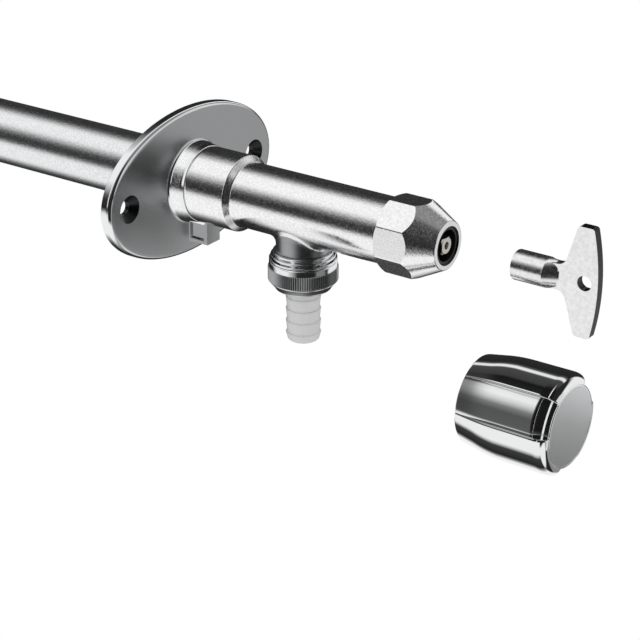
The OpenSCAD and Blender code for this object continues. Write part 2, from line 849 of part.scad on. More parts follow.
// Three rings over the air holes, and the thread for the hose union below
module vent_housing() {
    groove_r = ring_r - 2.5;
    top = neck_low - face_gap;
    ring1_r = ring_r - 1.7;
    ring2_r = ring_r - 0.7;
    color("lightgray")
        difference() {
            outlet_turned([
                [nipple_r - 1, top], [ring1_r - 0.5, top], [ring1_r, top - 0.5],
                [ring1_r, top - ring_h + 0.2], [groove_r, top - ring_h],
                [groove_r, top - ring_pitch], [ring2_r, top - ring_pitch - 0.2],
                [ring2_r, top - ring_pitch - ring_h + 0.2], [groove_r, top - ring_pitch - ring_h],
                [groove_r, top - 2 * ring_pitch], [ring_r, top - 2 * ring_pitch - 0.2],
                [ring_r, rings_low + 0.2], [ring_r - 0.2, rings_low],
                [hose_thread_r, rings_low], [hose_thread_r, housing_low + 0.7],
                [hose_thread_r - 0.7, housing_low], [cartridge_r - 1, housing_low],
                [cartridge_r - 1, top - 2]]);
            post(nipple_low - 0.1, top + cut, nipple_r + fit_gap);
            post(vent_floor, nipple_low - 0.1 + 0.01, vent_chamber_r);
            post(housing_low - cut, vent_floor + cut, cartridge_r + fit_gap);
            for (i = [0:vent_count - 1])
                translate([outlet_x, 0, vent_level])
                    rotate([0, 90, 360 * (i + 0.5) / vent_count])
                        translate([0, 0, vent_chamber_r - 1])
                            cylinder(h = groove_r - vent_chamber_r + 1.4, d = vent_hole_d, $fn = 24);
        }
}

module vent_float() {
    low = vent_floor + face_gap;
    color("dimgray")
        difference() {
            post(low, low + float_h, vent_chamber_r - float_play);
            post(low - cut, low + float_h + cut, 6.5);
        }
}

module check_cartridge() {
    spokes_low = check_low + spider_h;
    color("whitesmoke")
        difference() {
            union() {
                post(cartridge_top - cartridge_flange_h, cartridge_top, cartridge_r);
                post(check_low, cartridge_top, check_sleeve_r);
            }
            post(cartridge_top - check_seat_h - 1, cartridge_top + cut, check_seat_r);
            difference() {
                post(check_low - cut, cartridge_top - check_seat_h, check_sleeve_in_r);
                intersection() {
                    post(check_low - cut, spokes_low, check_sleeve_in_r + 0.5);
                    union() {
                        post(check_low - cut, spokes_low, poppet_stem_r + 1);
                        for (a = [0, 60, 120])
                            translate([outlet_x, 0, check_low])
                                rotate([0, 0, a])
                                    translate([-check_sleeve_r, -0.6, -cut])
                                        cube([2 * check_sleeve_r, 1.2, spider_h + cut]);
                    }
                }
            }
            post(check_low - cut, spokes_low + cut, poppet_stem_r + run_gap, 32);
        }
}

module check_poppet() {
    seal_low = poppet_top - poppet_seal_h;
    color("royalblue")
        difference() {
            union() {
                post(poppet_top - poppet_h, poppet_top, poppet_r);
                post(check_low - 1.5, poppet_top - 0.5, poppet_stem_r, 32);
            }
            difference() {
                post(seal_low, poppet_top + cut, poppet_r + cut);
                post(seal_low - cut, poppet_top + 2 * cut, poppet_r - 1.4);
            }
        }
}

module poppet_seal() {
    seal_low = poppet_top - poppet_seal_h;
    color("black")
        difference() {
            post(seal_low + 0.01, poppet_top, poppet_r);
            post(seal_low - cut, poppet_top + cut, poppet_r - 1.4 + 0.01);
        }
}

// The spring keeps the poppet shut: it is drawn as the sleeve that it fills
module check_spring() {
    low = check_low + spider_h + 0.01;
    high = poppet_top - poppet_h - 0.01;
    color("slategray")
        difference() {
            post(low, high, spring_r);
            post(low - cut, high + cut, spring_r - spring_wire);
        }
}

module hose_gasket() {
    color("black")
        difference() {
            post(gasket_low + 0.01, housing_low - 0.01, tail_flange_r);
            post(gasket_low - cut, housing_low + cut, check_sleeve_r + 0.6);
        }
}

// Outline of the knurl: straight V grooves side by side
module knurl_outline() {
    polygon([for (i = [0:2 * knurl_count - 1])
        (union_r - (i % 2) * knurl_depth) *
            [cos(180 * i / knurl_count), sin(180 * i / knurl_count)]]);
}

module union_nut() {
    core_r = union_r - knurl_depth - 0.15;
    foot_r = union_r - 3;
    color("lightgray")
        difference() {
            union() {
                translate([outlet_x, 0, knurl_low])
                    linear_extrude(knurl_h)
                        knurl_outline();
                outlet_turned(concat(
                    [[0, union_low], [foot_r, union_low], [core_r, knurl_low - 0.4]],
                    arc([core_r - 1, union_top - 1], 1, 0, 90, 4),
                    [[0, union_top]]));
            }
            post(union_lip_top, union_top + cut, hose_thread_r + run_gap);
            post(union_low - cut, union_top + cut, tail_neck_r + 0.4);
        }
}

// One barb is a ramp that widens upwards and a step that holds the hose
function barb_outline(i) =
    let (top = barb_top - i * barb_pitch, low = top - barb_pitch)
    [[barb_r, top - 0.3], [barb_r - 0.1, top - 1], [barb_r - barb_step, low + 0.15],
     [barb_r - barb_step, low]];

module hose_tail() {
    tip_r = barb_r - 2.2;
    neck_low_z = union_low - 0.4;
    valley_r = barb_r - barb_step;
    color("lightgray")
        difference() {
            outlet_turned(concat(
                [[0, tail_low], [tip_r, tail_low]],
                arc([tip_r, tail_low + 1.6], 1.6, -75, 0, 4),
                [[barb_r - 0.1, tail_tip_top - 1], [barb_r, tail_tip_top - 0.3]],
                [for (i = [barb_count - 2:-1:0])
                    for (k = [3:-1:0])
                        barb_outline(i)[k]],
                [[valley_r, barb_top], [valley_r, neck_low_z - 0.6], [tail_neck_r, neck_low_z],
                 [tail_neck_r, tail_flange_low],
                 [tail_flange_r, tail_flange_low], [tail_flange_r, gasket_low],
                 [0, gasket_low]]));
            post(tail_low - cut, gasket_low + cut, tail_bore_r);
            post(tail_seat_low, gasket_low + cut, tail_seat_r);
        }
}

// Outline of the key's handle in the X and Z plane, upper half, from the neck
function key_half_outline() =
    let (neck_h = 5.6,
         neck_r = 4.5,
         arm_a = 73,
         arm_foot = [key_x + key_barrel_l + 13.1, key_plate_h / 2 - 1.6],
         neck_c = [arm_foot[0] + (neck_h + neck_r - arm_foot[1]) / tan(arm_a) - neck_r / sin(arm_a),
                   neck_h + neck_r],
         tip_r = 1.8,
         tip_c = [arm_foot[0] + tip_r * sin(arm_a), key_plate_h / 2 - tip_r],
         edge_sag = 2.9,
         edge_r = (pow(key_plate_h / 2, 2) + pow(edge_sag, 2)) / (2 * edge_sag),
         edge_a = asin((key_plate_h / 2 - 1.4) / edge_r),
         edge_c = [key_front_x - edge_r, 0])
    concat(
        [[key_x + key_barrel_l - 1, neck_h]],
        arc(neck_c, neck_r, -90, arm_a - 90, 5),
        arc(tip_c, tip_r, 90 + arm_a, 90, 4),
        arc(edge_c + edge_r * [cos(edge_a), sin(edge_a)] - [1.4, 0], 1.4, 90, 10, 3),
        arc(edge_c, edge_r, edge_a, 0, 8));

module key_plate() {
    half = key_half_outline();
    low_half = [for (i = [len(half) - 2:-1:0]) [half[i][0], -half[i][1]]];
    translate([0, key_plate_t / 2, 0])
        rotate([90, 0, 0])
            linear_extrude(key_plate_t)
                polygon(concat(half, low_half));
}

// The barrel is pressed flat where it runs into the plate
module key_shoulder() {
    a = key_x + key_barrel_l;
    slice = 0.5;
    hull() {
        bar(a - slice, a, key_barrel_r, 32);
        translate([a + key_shoulder_l, -key_plate_t / 2 + 0.2, -key_shoulder_h / 2])
            cube([slice, key_plate_t - 0.4, key_shoulder_h]);
    }
}

module socket_key() {
    color("silver")
        difference() {
            union() {
                turned([[0, key_x], [key_barrel_r - 0.6, key_x], [key_barrel_r, key_x + 0.6],
                        [key_barrel_r, key_x + key_barrel_l], [0, key_x + key_barrel_l]]);
                key_shoulder();
                key_plate();
            }
            translate([key_x - cut, -key_square_w / 2, -key_square_w / 2])
                cube([key_square_depth + cut, key_square_w, key_square_w]);
            translate([key_front_x - 6.1, key_plate_t, 0])
                rotate([90, 0, 0])
                    cylinder(h = 2 * key_plate_t, d = key_hole_d, $fn = 32);
        }
}

// The knob without its lobes: a round grip that ends in a hollow scoop before the bezel
module knob_grip() {
    scoop_l = scoop_end_x - scoop_x;
    scoop_depth = grip_r - bezel_r;
    scoop_r = (scoop_depth * scoop_depth + scoop_l * scoop_l) / (2 * scoop_depth);
    scoop_a = asin(scoop_l / scoop_r);
    back_r = knob_back_r - 0.1;
    turned(concat(
        [[0, knob_x], [back_r - 0.6, knob_x], [back_r, knob_x + 0.6]],
        bend([grip_r - 0.2, knob_x + 6], [grip_r, knob_x + 9], [grip_r, knob_x + 14], 3),
        arc([bezel_r + scoop_r, scoop_end_x], scoop_r, 180 + scoop_a, 180, 8),
        [[bezel_r, knob_front_x - 0.1], [0, knob_front_x - 0.1]]));
}

// The round form that the lobes are cut from: it flares out from the open end
module lobe_blank() {
    round_r = 2.2;
    lean = 50;
    flare = (knob_r - knob_back_r) / (flare_x - knob_x);
    turned(concat(
        [[0, knob_x], [knob_back_r - 0.6, knob_x], [knob_back_r, knob_x + 0.6]],
        bend([knob_r - 0.2 - flare * 5, flare_x - 5], [knob_r - 0.2, flare_x],
             [knob_r - 0.1, flare_x + 6], 5),
        arc([knob_r - round_r, lobe_round_x], round_r, 0, lean, 5),
        [[bezel_r + 0.05, knob_front_x - 0.1], [0, knob_front_x - 0.1]]));
}

// A wedge from the knob's axis as wide as one lobe
module lobe_wedge() {
    reach = 2 * knob_r;
    half = lobe_width / 2;
    translate([knob_x - cut, 0, 0])
        rotate([90, 0, 90])
            linear_extrude(knob_l + 2 * cut)
                polygon([[0, 0], reach * [sin(half), cos(half)], reach * [-sin(half), cos(half)]]);
}

module knob_shell() {
    color("gainsboro")
        translate([0, 0, -knob_drop])
            difference() {
                union() {
                    knob_grip();
                    intersection() {
                        lobe_blank();
                        for (i = [0:lobe_count - 1])
                            rotate([-lobe_turn - 360 * i / lobe_count, 0, 0])
                                lobe_wedge();
                    }
                }
                bar(knob_x - cut, web_x, knob_bore_r);
                bar(web_x - cut, knob_front_x, 2.3, 32);
                bar(web_x + web_t, knob_front_x + cut, screw_well_r);
                bar(knob_front_x - cap_t, knob_front_x + cut, cap_r + fit_gap);
            }
}

module knob_adapter() {
    socket_w = square_w + 0.1;
    color("dimgray")
        translate([0, 0, -knob_drop])
            difference() {
                union() {
                    bar(adapter_x, web_x - face_gap, adapter_r);
                    bar(adapter_flange_x, adapter_flange_x + adapter_flange_t, knob_bore_r - fit_gap);
                    bar(web_x - 3, web_x - face_gap, knob_bore_r - fit_gap);
                }
                translate([adapter_x - cut, -socket_w / 2, -socket_w / 2])
                    cube([knob_square_depth + cut, socket_w, socket_w]);
                bar(adapter_x + knob_square_depth, web_x + cut, 2.3, 32);
            }
}

module knob_screw() {
    head_x = web_x + web_t + face_gap;
    tip_x = adapter_x + knob_square_depth + 1.2;
    color("slategray")
        translate([0, 0, -knob_drop])
            difference() {
                union() {
                    bar(tip_x, head_x + 1, 2, 32);
                    bar(head_x, head_x + 3, 3.6, 32);
                }
                bar(head_x + 1.2, head_x + 3 + cut, 1.7, 6);
            }
}

module knob_cap() {
    dome = 0.35;
    rest_x = knob_front_x - cap_t + face_gap;
    color("darkgray")
        translate([0, 0, -knob_drop])
            difference() {
                union() {
                    turned([[0, rest_x], [cap_r, rest_x], [cap_r, knob_front_x - dome],
                            [cap_r - 0.3, knob_front_x - dome + 0.15],
                            [cap_r / 2, knob_front_x - 0.08], [0, knob_front_x]]);
                    bar(rest_x - 2.4, rest_x + 0.2, screw_well_r - run_gap);
                }
                bar(rest_x - 2.4 - cut, rest_x, screw_well_r - 1.5);
            }
}

wall_tube();
wall_flange();
clamp_screw();
tap_body();
nose_nut();
gland_bush();
gland_o_ring();
thrust_washer();
drive_spindle();
spindle_o_rings();
stem_rod();
stem_pins();
rod_guides();
screw_spindle();
retaining_ring();
spindle_bearing();
valve_body();
guide_pin();
valve_plunger();
seat_washer();
washer_screw();
vent_housing();
vent_float();
check_cartridge();
check_poppet();
poppet_seal();
check_spring();
hose_gasket();
union_nut();
hose_tail();
socket_key();
knob_shell();
knob_adapter();
knob_screw();
knob_cap();
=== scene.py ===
# %% [markdown]
# # A frost free sillcock, taken apart for its photograph
# The tap is drawn along one axis that comes out of the wall: tube, oval flange, body, octagonal nose.
# A loose key stands in front of the nose and a lobed knob lies below it.
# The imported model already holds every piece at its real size, so this script is about surfaces:
# pieces whose highlights need soft edges are modelled again in place, and the rest get a finish.

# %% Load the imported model
import json
from math import asin, atan2, cos, degrees, pi, radians, sin, sqrt, tan

import bmesh
import bpy
from mathutils import Matrix, Vector

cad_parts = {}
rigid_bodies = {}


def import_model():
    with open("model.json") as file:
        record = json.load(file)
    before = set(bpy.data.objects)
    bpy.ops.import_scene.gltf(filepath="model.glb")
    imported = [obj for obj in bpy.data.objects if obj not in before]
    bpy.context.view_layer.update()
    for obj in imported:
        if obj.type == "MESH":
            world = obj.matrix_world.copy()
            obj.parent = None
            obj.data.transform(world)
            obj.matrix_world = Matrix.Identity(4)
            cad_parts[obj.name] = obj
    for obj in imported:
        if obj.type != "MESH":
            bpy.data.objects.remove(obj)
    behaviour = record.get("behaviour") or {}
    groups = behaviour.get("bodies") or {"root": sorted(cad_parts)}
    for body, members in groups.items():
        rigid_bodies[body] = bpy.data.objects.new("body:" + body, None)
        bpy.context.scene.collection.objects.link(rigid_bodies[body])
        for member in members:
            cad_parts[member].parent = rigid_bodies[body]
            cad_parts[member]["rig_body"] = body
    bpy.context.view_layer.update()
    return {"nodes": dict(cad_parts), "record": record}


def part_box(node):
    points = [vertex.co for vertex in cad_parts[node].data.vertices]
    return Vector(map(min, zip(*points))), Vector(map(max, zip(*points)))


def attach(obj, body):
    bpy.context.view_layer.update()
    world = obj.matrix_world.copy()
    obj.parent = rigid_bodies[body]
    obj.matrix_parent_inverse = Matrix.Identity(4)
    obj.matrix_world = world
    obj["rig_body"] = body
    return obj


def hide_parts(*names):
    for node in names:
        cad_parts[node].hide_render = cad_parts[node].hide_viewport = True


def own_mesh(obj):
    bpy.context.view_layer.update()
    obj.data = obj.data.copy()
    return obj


MM = 0.001
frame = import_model()
nodes = frame["nodes"]

# %% [markdown]
# ## The camera
# A product photograph is taken from far away with a long lens, so that parallel edges stay nearly parallel.
# The place below comes from fitting one lens to the tap's straight edges and circles.

# %% Place the camera
CAMERA_PLACE = (0.5660, -0.6910, 0.3317)
CAMERA_TILT = radians(65.69)
CAMERA_TURN = radians(35.38)
FOCAL_MM = 117.5

camera_data = bpy.data.cameras.new("camera")
camera_data.lens = FOCAL_MM
camera_data.sensor_width = 36
camera_data.clip_start = 0.01
camera_data.clip_end = 20
camera = bpy.data.objects.new("camera", camera_data)
camera.location = CAMERA_PLACE
camera.rotation_euler = (CAMERA_TILT, 0, CAMERA_TURN)
bpy.context.scene.collection.objects.link(camera)
bpy.context.scene.camera = camera
bpy.context.scene.view_settings.view_transform = "Standard"
print("camera at", CAMERA_PLACE, "lens", FOCAL_MM, "mm")

# %% [markdown]
# ## Building materials from nodes
# One small function adds a node with its settings and its links, so each finish below is a short recipe.
# Colours are written as they look on a screen and are turned to linear light first.


# %% Node and colour helpers
def linear(colour):
    """An sRGB hex colour as linear red, green, blue and alpha."""
    channels = [int(colour[i : i + 2], 16) / 255 for i in (1, 3, 5)]
    return [c / 12.92 if c <= 0.04045 else ((c + 0.055) / 1.055) ** 2.4 for c in channels] + [1.0]


def grey(level):
    """A grey of this much linear light."""
    return (level, level, level, 1.0)


def add(tree, kind, settings=None, **sockets):
    """Adds one node: settings are its attributes, sockets are values or other nodes' outputs."""
    node = tree.nodes.new(kind)
    for name, value in (settings or {}).items():
        setattr(node, name, value)
    for name, value in sockets.items():
        key = int(name[1:]) if name[0] == "i" and name[1:].isdigit() else name.replace("_", " ")
        socket = node.inputs[key]
        if isinstance(value, bpy.types.NodeSocket):
            tree.links.new(value, socket)
        else:
            socket.default_value = value
    return node


def new_material(name, kind="ShaderNodeBsdfPrincipled"):
    """A material, its node tree, the shader that it shows, and the object coordinates."""
    material = bpy.data.materials.new(name)
    material.use_nodes = True
    tree = material.node_tree
    tree.nodes.clear()
    shader = add(tree, kind)
    output = add(tree, "ShaderNodeOutputMaterial")
    tree.links.new(shader.outputs[0], output.inputs["Surface"])
    place = add(tree, "ShaderNodeTexCoord").outputs["Object"]
    return material, tree, shader, place


def per_mm(size_mm):
    """The noise scale, on coordinates in metres, whose grains are this many millimetres across."""
    return 1 / (size_mm * MM)


# %% [markdown]
# ## Plated metals
# Most of this tap is brass or zinc under a thin coat of chrome.
# What tells the pieces apart is how they were finished before plating: blasted castings scatter light
# in fine grains, turned and polished rings mirror the room, and the drawn tube lies in between.


# %% Chromed finishes
# Noise keeps to the middle of its range. These ends stretch it: hard for speckle, softly for roughness
SPECKLE_ENDS = (0.36, 0.64)
ROUGHNESS_ENDS = (0.3, 0.7)
CLOUD_MM = 9.0
CLOUD_DULLNESS = 0.06


def plated(name, colour, roughness, grain_mm, grain_depth_mm, spread=0.0, speckle=0.0, stretch=(1, 1, 1)):
    """Chrome over a grainy ground: grain tilts the mirror, spread varies roughness, speckle brightness."""
    material, tree, shader, place = new_material(name)
    mapped = add(tree, "ShaderNodeMapping", Vector=place, Scale=stretch).outputs[0]
    grain = add(tree, "ShaderNodeTexNoise", Vector=mapped, Scale=per_mm(grain_mm), Detail=2.0)
    if speckle:
        low, high = SPECKLE_ENDS
        shade = add(tree, "ShaderNodeMapRange", Value=grain.outputs["Fac"], i1=low, i2=high, i3=0.0, i4=1.0)
    else:
        shade = add(tree, "ShaderNodeTexNoise", Vector=place, Scale=per_mm(CLOUD_MM), Detail=3.0)
    bright = linear(colour)
    dull = [c * (1 - CLOUD_DULLNESS - speckle) for c in bright[:3]] + [1]
    tint = add(tree, "ShaderNodeMix", {"data_type": "RGBA"}, Factor=shade.outputs[0], i6=dull, i7=bright)
    tree.links.new(tint.outputs[2], shader.inputs["Base Color"])
    shader.inputs["Metallic"].default_value = 1.0
    low, high = ROUGHNESS_ENDS
    smooth, matt = max(roughness - spread, 0.02), roughness + spread
    rough = add(tree, "ShaderNodeMapRange", Value=grain.outputs["Fac"], i1=low, i2=high, i3=smooth, i4=matt)
    tree.links.new(rough.outputs[0], shader.inputs["Roughness"])
    if grain_depth_mm:
        depth = grain_depth_mm * MM
        bump = add(tree, "ShaderNodeBump", Strength=1.0, Distance=depth, Height=grain.outputs["Fac"])
        tree.links.new(bump.outputs[0], shader.inputs["Normal"])
    return material


# Cast brass, blasted with glass beads and chromed: a frosted mirror with grains just wide enough to show
blasted_chrome = plated("blasted_chrome", "#fbfbfc", 0.19, 0.9, 0.036, spread=0.05, speckle=0.10)
# The flange's face, the neck and the knurl are blasted finer, to an even grey
frosted_chrome = plated("frosted_chrome", "#a8a9aa", 0.34, 0.6, 0.012, spread=0.03, speckle=0.04)
# The tube is drawn, so its marks are a little longer than they are wide
drawn_chrome = plated(
    "drawn_chrome", "#f0f1f2", 0.22, 0.9, 0.032, spread=0.03, speckle=0.09, stretch=(0.8, 1, 1)
)
# The outlet's rings and its nut are turned and plated without buffing
turned_chrome = plated("turned_chrome", "#f0f1f2", 0.15, 1.5, 0.0, spread=0.02)
# Turned and buffed before plating: almost a perfect mirror
polished_chrome = plated("polished_chrome", "#eeeff0", 0.07, 1.5, 0.0, spread=0.01)
# The knob is moulded plastic, plated: the smoothest surface here
mirror_chrome = plated("mirror_chrome", "#f2f3f3", 0.035, 3.0, 0.0, spread=0.005)
# The key is die cast zinc, tumbled in stones and nickel plated
tumbled_zinc = plated("tumbled_zinc", "#f2f2f2", 0.20, 1.5, 0.026, spread=0.04, speckle=0.09)
# A dark grey plate that paints shade and dark reflection: the key's edges get it as a painted dark
# reflection, and the screw sinks and the nose's bore as painted shade
painted_shade_metal = plated("painted_shade_metal", "#343434", 0.30, 0.9, 0.004, spread=0.04)
# The cap disc is satin plated
satin_disc = plated("satin_disc", "#cccdce", 0.30, 0.5, 0.001, spread=0.02)
# Turned parts inside
turned_brass = plated("turned_brass", "#d8b06a", 0.28, 0.8, 0.004, spread=0.05)
nickelled_brass = plated("nickelled_brass", "#cfccc4", 0.25, 0.7, 0.003, spread=0.04)
ground_stainless = plated("ground_stainless", "#b6b7b8", 0.30, 0.6, 0.004, spread=0.05, stretch=(0.2, 1, 1))


# %% [markdown]
# ## Plastics and rubber
# The hose tail is grey acetal, the gland bush black nylon with glass fibre, and the seals nitrile rubber.
# Moulded plastic is nearly plain, so its life comes from a soft sheen and a faint cloudiness.


# %% Plastics and rubber
def moulded(name, colour, roughness, mottle_mm=2.5, mottle=0.04, skin_mm=0.4, skin_depth_mm=0.004):
    """A moulded plastic or rubber: a little darker and lighter in clouds, with a fine skin."""
    material, tree, shader, place = new_material(name)
    cloud = add(tree, "ShaderNodeTexNoise", Vector=place, Scale=per_mm(mottle_mm), Detail=3.0)
    base = linear(colour)
    dark = [c * (1 - mottle) for c in base[:3]] + [1]
    light = [min(c * (1 + mottle), 1) for c in base[:3]] + [1]
    tint = add(tree, "ShaderNodeMix", {"data_type": "RGBA"}, Factor=cloud.outputs["Fac"], i6=dark, i7=light)
    tree.links.new(tint.outputs[2], shader.inputs["Base Color"])
    shader.inputs["Roughness"].default_value = roughness
    skin = add(tree, "ShaderNodeTexNoise", Vector=place, Scale=per_mm(skin_mm), Detail=2.0)
    bump = add(tree, "ShaderNodeBump", Strength=1.0, Distance=skin_depth_mm * MM, Height=skin.outputs["Fac"])
    tree.links.new(bump.outputs[0], shader.inputs["Normal"])
    return material


grey_acetal = moulded("grey_acetal", "#d2d2d2", 0.45)
black_nylon = moulded("black_nylon", "#0b0b0c", 0.45)
white_acetal = moulded("white_acetal", "#dcdad4", 0.40)
nitrile_rubber = moulded("nitrile_rubber", "#131313", 0.65, skin_depth_mm=0.01)

# %% [markdown]
# ## Finishing a mesh
# Every new piece is drawn in millimetres in a bmesh, and one function turns it into an object:
# it merges doubles, points the faces outwards, rounds the edges by a stated width and seats it on its body.
# The weighted normals keep flat faces flat where they run into a rounded edge.


# %% Mesh helpers
def box_mm(node):
    """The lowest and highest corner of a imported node, in millimetres."""
    low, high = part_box(node)
    return low / MM, high / MM


def as_object(bm, name):
    """Puts a bmesh into the scene as an object."""
    mesh = bpy.data.meshes.new(name)
    bm.to_mesh(mesh)
    bm.free()
    made = bpy.data.objects.new(name, mesh)
    bpy.context.scene.collection.objects.link(made)
    return made


def turn_mesh(bm, angle, axis, centre=(0, 0, 0)):
    """Turns a whole bmesh by an angle in degrees round an axis through the centre."""
    bmesh.ops.rotate(bm, verts=bm.verts, cent=centre, matrix=Matrix.Rotation(radians(angle), 3, axis))


def move_mesh(bm, way):
    """Moves a whole bmesh."""
    bmesh.ops.translate(bm, vec=way, verts=bm.verts)


def off_tap(point):
    """How far a point lies from the tap's axis."""
    return sqrt(point.y**2 + point.z**2)


# %% Finish a piece
MERGE_MM = 0.0005


def paint(bm, slot, chosen):
    """Gives the faces whose middle passes the test another material slot."""
    for face in bm.faces:
        if chosen(face.calc_center_median(), face):
            face.material_index = slot


def finish_piece(bm, name, node, materials, edge_mm=0.0, edge_angle=40, sharp_angle=38):
    """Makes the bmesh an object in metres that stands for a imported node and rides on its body."""
    bmesh.ops.remove_doubles(bm, verts=bm.verts, dist=MERGE_MM)
    bmesh.ops.dissolve_degenerate(bm, edges=bm.edges, dist=MERGE_MM)
    bmesh.ops.recalc_face_normals(bm, faces=bm.faces)
    bmesh.ops.scale(bm, vec=(MM, MM, MM), verts=bm.verts)
    piece = as_object(bm, name)
    mesh = piece.data
    for material in materials:
        mesh.materials.append(material)
    mesh.shade_smooth()
    mesh.set_sharp_from_angle(angle=radians(sharp_angle))
    if edge_mm:
        rounding = piece.modifiers.new("rounding", "BEVEL")
        rounding.width = edge_mm * MM
        rounding.segments = 2
        rounding.limit_method = "ANGLE"
        rounding.angle_limit = radians(edge_angle)
        rounding.use_clamp_overlap = True
    evened = piece.modifiers.new("even_normals", "WEIGHTED_NORMAL")
    evened.keep_sharp = True
    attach(piece, nodes[node]["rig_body"])
    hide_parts(node)
    print(name, len(mesh.polygons), "faces")
    return piece


# %% [markdown]
# ## Three ways to make a round form
# Turned pieces are spun from half an outline, as on a lathe.
# Pieces that are oval or change their section, such as the flange, are one ring extruded again and again.
# Holes and joins are cut with an exact boolean, which keeps both meshes closed.


# %% Lathe
def lathe(outline, axis="X", centre=(0, 0, 0), steps=144, turn=360):
    """Turns (radius, station) points round an axis through the centre, as a closed skin."""
    bm = bmesh.new()
    along = {"X": Vector((1, 0, 0)), "Z": Vector((0, 0, 1))}[axis]
    out = {"X": Vector((0, 0, 1)), "Z": Vector((1, 0, 0))}[axis]
    centre = Vector(centre)
    verts = [bm.verts.new(centre + out * r + along * s) for r, s in outline]
    edges = [bm.edges.new(pair) for pair in zip(verts, verts[1:])]
    if outline[0][0] > 0 and outline[-1][0] > 0:
        edges.append(bm.edges.new((verts[-1], verts[0])))
    full = turn == 360
    bmesh.ops.spin(
        bm, geom=verts + edges, cent=centre, axis=along, angle=radians(turn), steps=steps, use_merge=full
    )
    bmesh.ops.remove_doubles(bm, verts=bm.verts, dist=MERGE_MM)
    if not full:
        bmesh.ops.holes_fill(bm, edges=[e for e in bm.edges if e.is_boundary])
    bmesh.ops.recalc_face_normals(bm, faces=bm.faces)
    return bm


def rod(radius, low, high, axis="X", centre=(0, 0, 0), steps=96):
    """A solid cylinder between two stations, mostly to cut a hole with."""
    return lathe([(0, low), (radius, low), (radius, high), (0, high)], axis, centre, steps)


# %% Ring stack
def ring_stack(rings, segments=192):
    """Extrudes a ring along the tap's axis, by (half width, half height, station), and back to the first."""
    bm = bmesh.new()
    half_w, half_h, station = rings[0]
    verts = bmesh.ops.create_circle(bm, cap_ends=False, radius=1.0, segments=segments)["verts"]
    turn_mesh(bm, 90, "Y")
    bmesh.ops.scale(bm, vec=(1, half_w, half_h), verts=verts)
    move_mesh(bm, (station, 0, 0))
    edges = list(bm.edges)
    for new_w, new_h, new_station in rings[1:] + rings[:1]:
        grown = bmesh.ops.extrude_edge_only(bm, edges=edges)["geom"]
        verts = [g for g in grown if isinstance(g, bmesh.types.BMVert)]
        ring = set(verts)
        edges = [g for g in grown if isinstance(g, bmesh.types.BMEdge) and set(g.verts) <= ring]
        bmesh.ops.scale(bm, vec=(1, new_w / half_w, new_h / half_h), verts=verts)
        bmesh.ops.translate(bm, vec=(new_station - station, 0, 0), verts=verts)
        half_w, half_h, station = new_w, new_h, new_station
    bmesh.ops.remove_doubles(bm, verts=bm.verts, dist=MERGE_MM)
    bmesh.ops.recalc_face_normals(bm, faces=bm.faces)
    return bm


# %% Box, arc and bend
def block(low, high):
    """A box between two corners."""
    bm = bmesh.new()
    bmesh.ops.create_cube(bm, size=1.0)
    size = Vector(high) - Vector(low)
    bmesh.ops.scale(bm, vec=size, verts=bm.verts)
    move_mesh(bm, Vector(low) + size / 2)
    return bm


def arc(centre, radius, start, end, steps=8):
    """Points of an arc as (radius, station) pairs, angles in degrees from the radius direction."""
    angles = [radians(start + (end - start) * i / steps) for i in range(steps + 1)]
    return [(centre[0] + radius * cos(a), centre[1] + radius * sin(a)) for a in angles]


def bend(a, b, c, steps=8):
    """Points of a smooth bend that leaves a towards b and comes into c from b."""
    shares = [i / steps for i in range(steps + 1)]
    weights = [((1 - t) ** 2, 2 * t * (1 - t), t * t) for t in shares]
    return [tuple(u * p + v * q + w * r for p, q, r in zip(a, b, c)) for u, v, w in weights]


# %% Boolean
def gather(tools):
    """Puts closed bmeshes that don't touch into one, so that one boolean can use them all."""
    bm = bmesh.new()
    for tool in tools:
        mesh = bpy.data.meshes.new("work")
        tool.to_mesh(mesh)
        tool.free()
        bm.from_mesh(mesh)
        bpy.data.meshes.remove(mesh)
    return bm


def combine(base, tool, operation):
    """Joins, cuts or intersects two closed bmeshes and gives back a new one."""
    pair = [as_object(bm, "work") for bm in (base, tool)]
    cut = pair[0].modifiers.new("cut", "BOOLEAN")
    cut.object = pair[1]
    cut.operation = operation
    cut.solver = "EXACT"
    shaped = pair[0].evaluated_get(bpy.context.evaluated_depsgraph_get())
    result = bmesh.new()
    result.from_mesh(shaped.data)
    for worked in pair:
        mesh = worked.data
        bpy.data.objects.remove(worked)
        bpy.data.meshes.remove(mesh)
    return result


# %% [markdown]
# ## The drawn tube
# The tube that passes through the wall is plain: a hollow lathe with lightly broken ends.

# %% Wall tube
TUBE_R = 15.0
TUBE_WALL = 2.0
TUBE_EDGE = 0.4

tube_low, tube_high = box_mm("wall_tube")
tube_bore_r = TUBE_R - TUBE_WALL
tube = lathe(
    [(tube_bore_r, tube_low.x), (TUBE_R - TUBE_EDGE, tube_low.x), (TUBE_R, tube_low.x + TUBE_EDGE)]
    + [(TUBE_R, tube_high.x - TUBE_EDGE), (TUBE_R - TUBE_EDGE, tube_high.x), (tube_bore_r, tube_high.x)]
)
finish_piece(tube, "wall_tube_skin", "wall_tube", [drawn_chrome])

# %% [markdown]
# ## The oval flange
# A cast plate with a rolled rim, a collar for the tube and a lug below it for the clamping screw.
# One ring makes the plate and the collar: it starts in the bore, runs out over the back, round the rim,
# in over the face and up the collar, so the face is made of long flat strips and the fillet at the
# collar's foot is truly tangent. The two screw holes and the lug are then cut and joined.

# %% Flange plate and collar
FLANGE_HALF_W = 58.5
FLANGE_HALF_H = 34.0
FLANGE_T = 5.4
RIM_R = 2.4
RIM_STEPS = 8
FLANGE_BORE_R = TUBE_R + 0.05
COLLAR_R = 18.0
COLLAR_X = 13.3
COLLAR_ROOT_R = 18.5
COLLAR_FILLET = 1.6
COLLAR_CHAMFER = 14
CHAMFER_X = COLLAR_X - 2.1

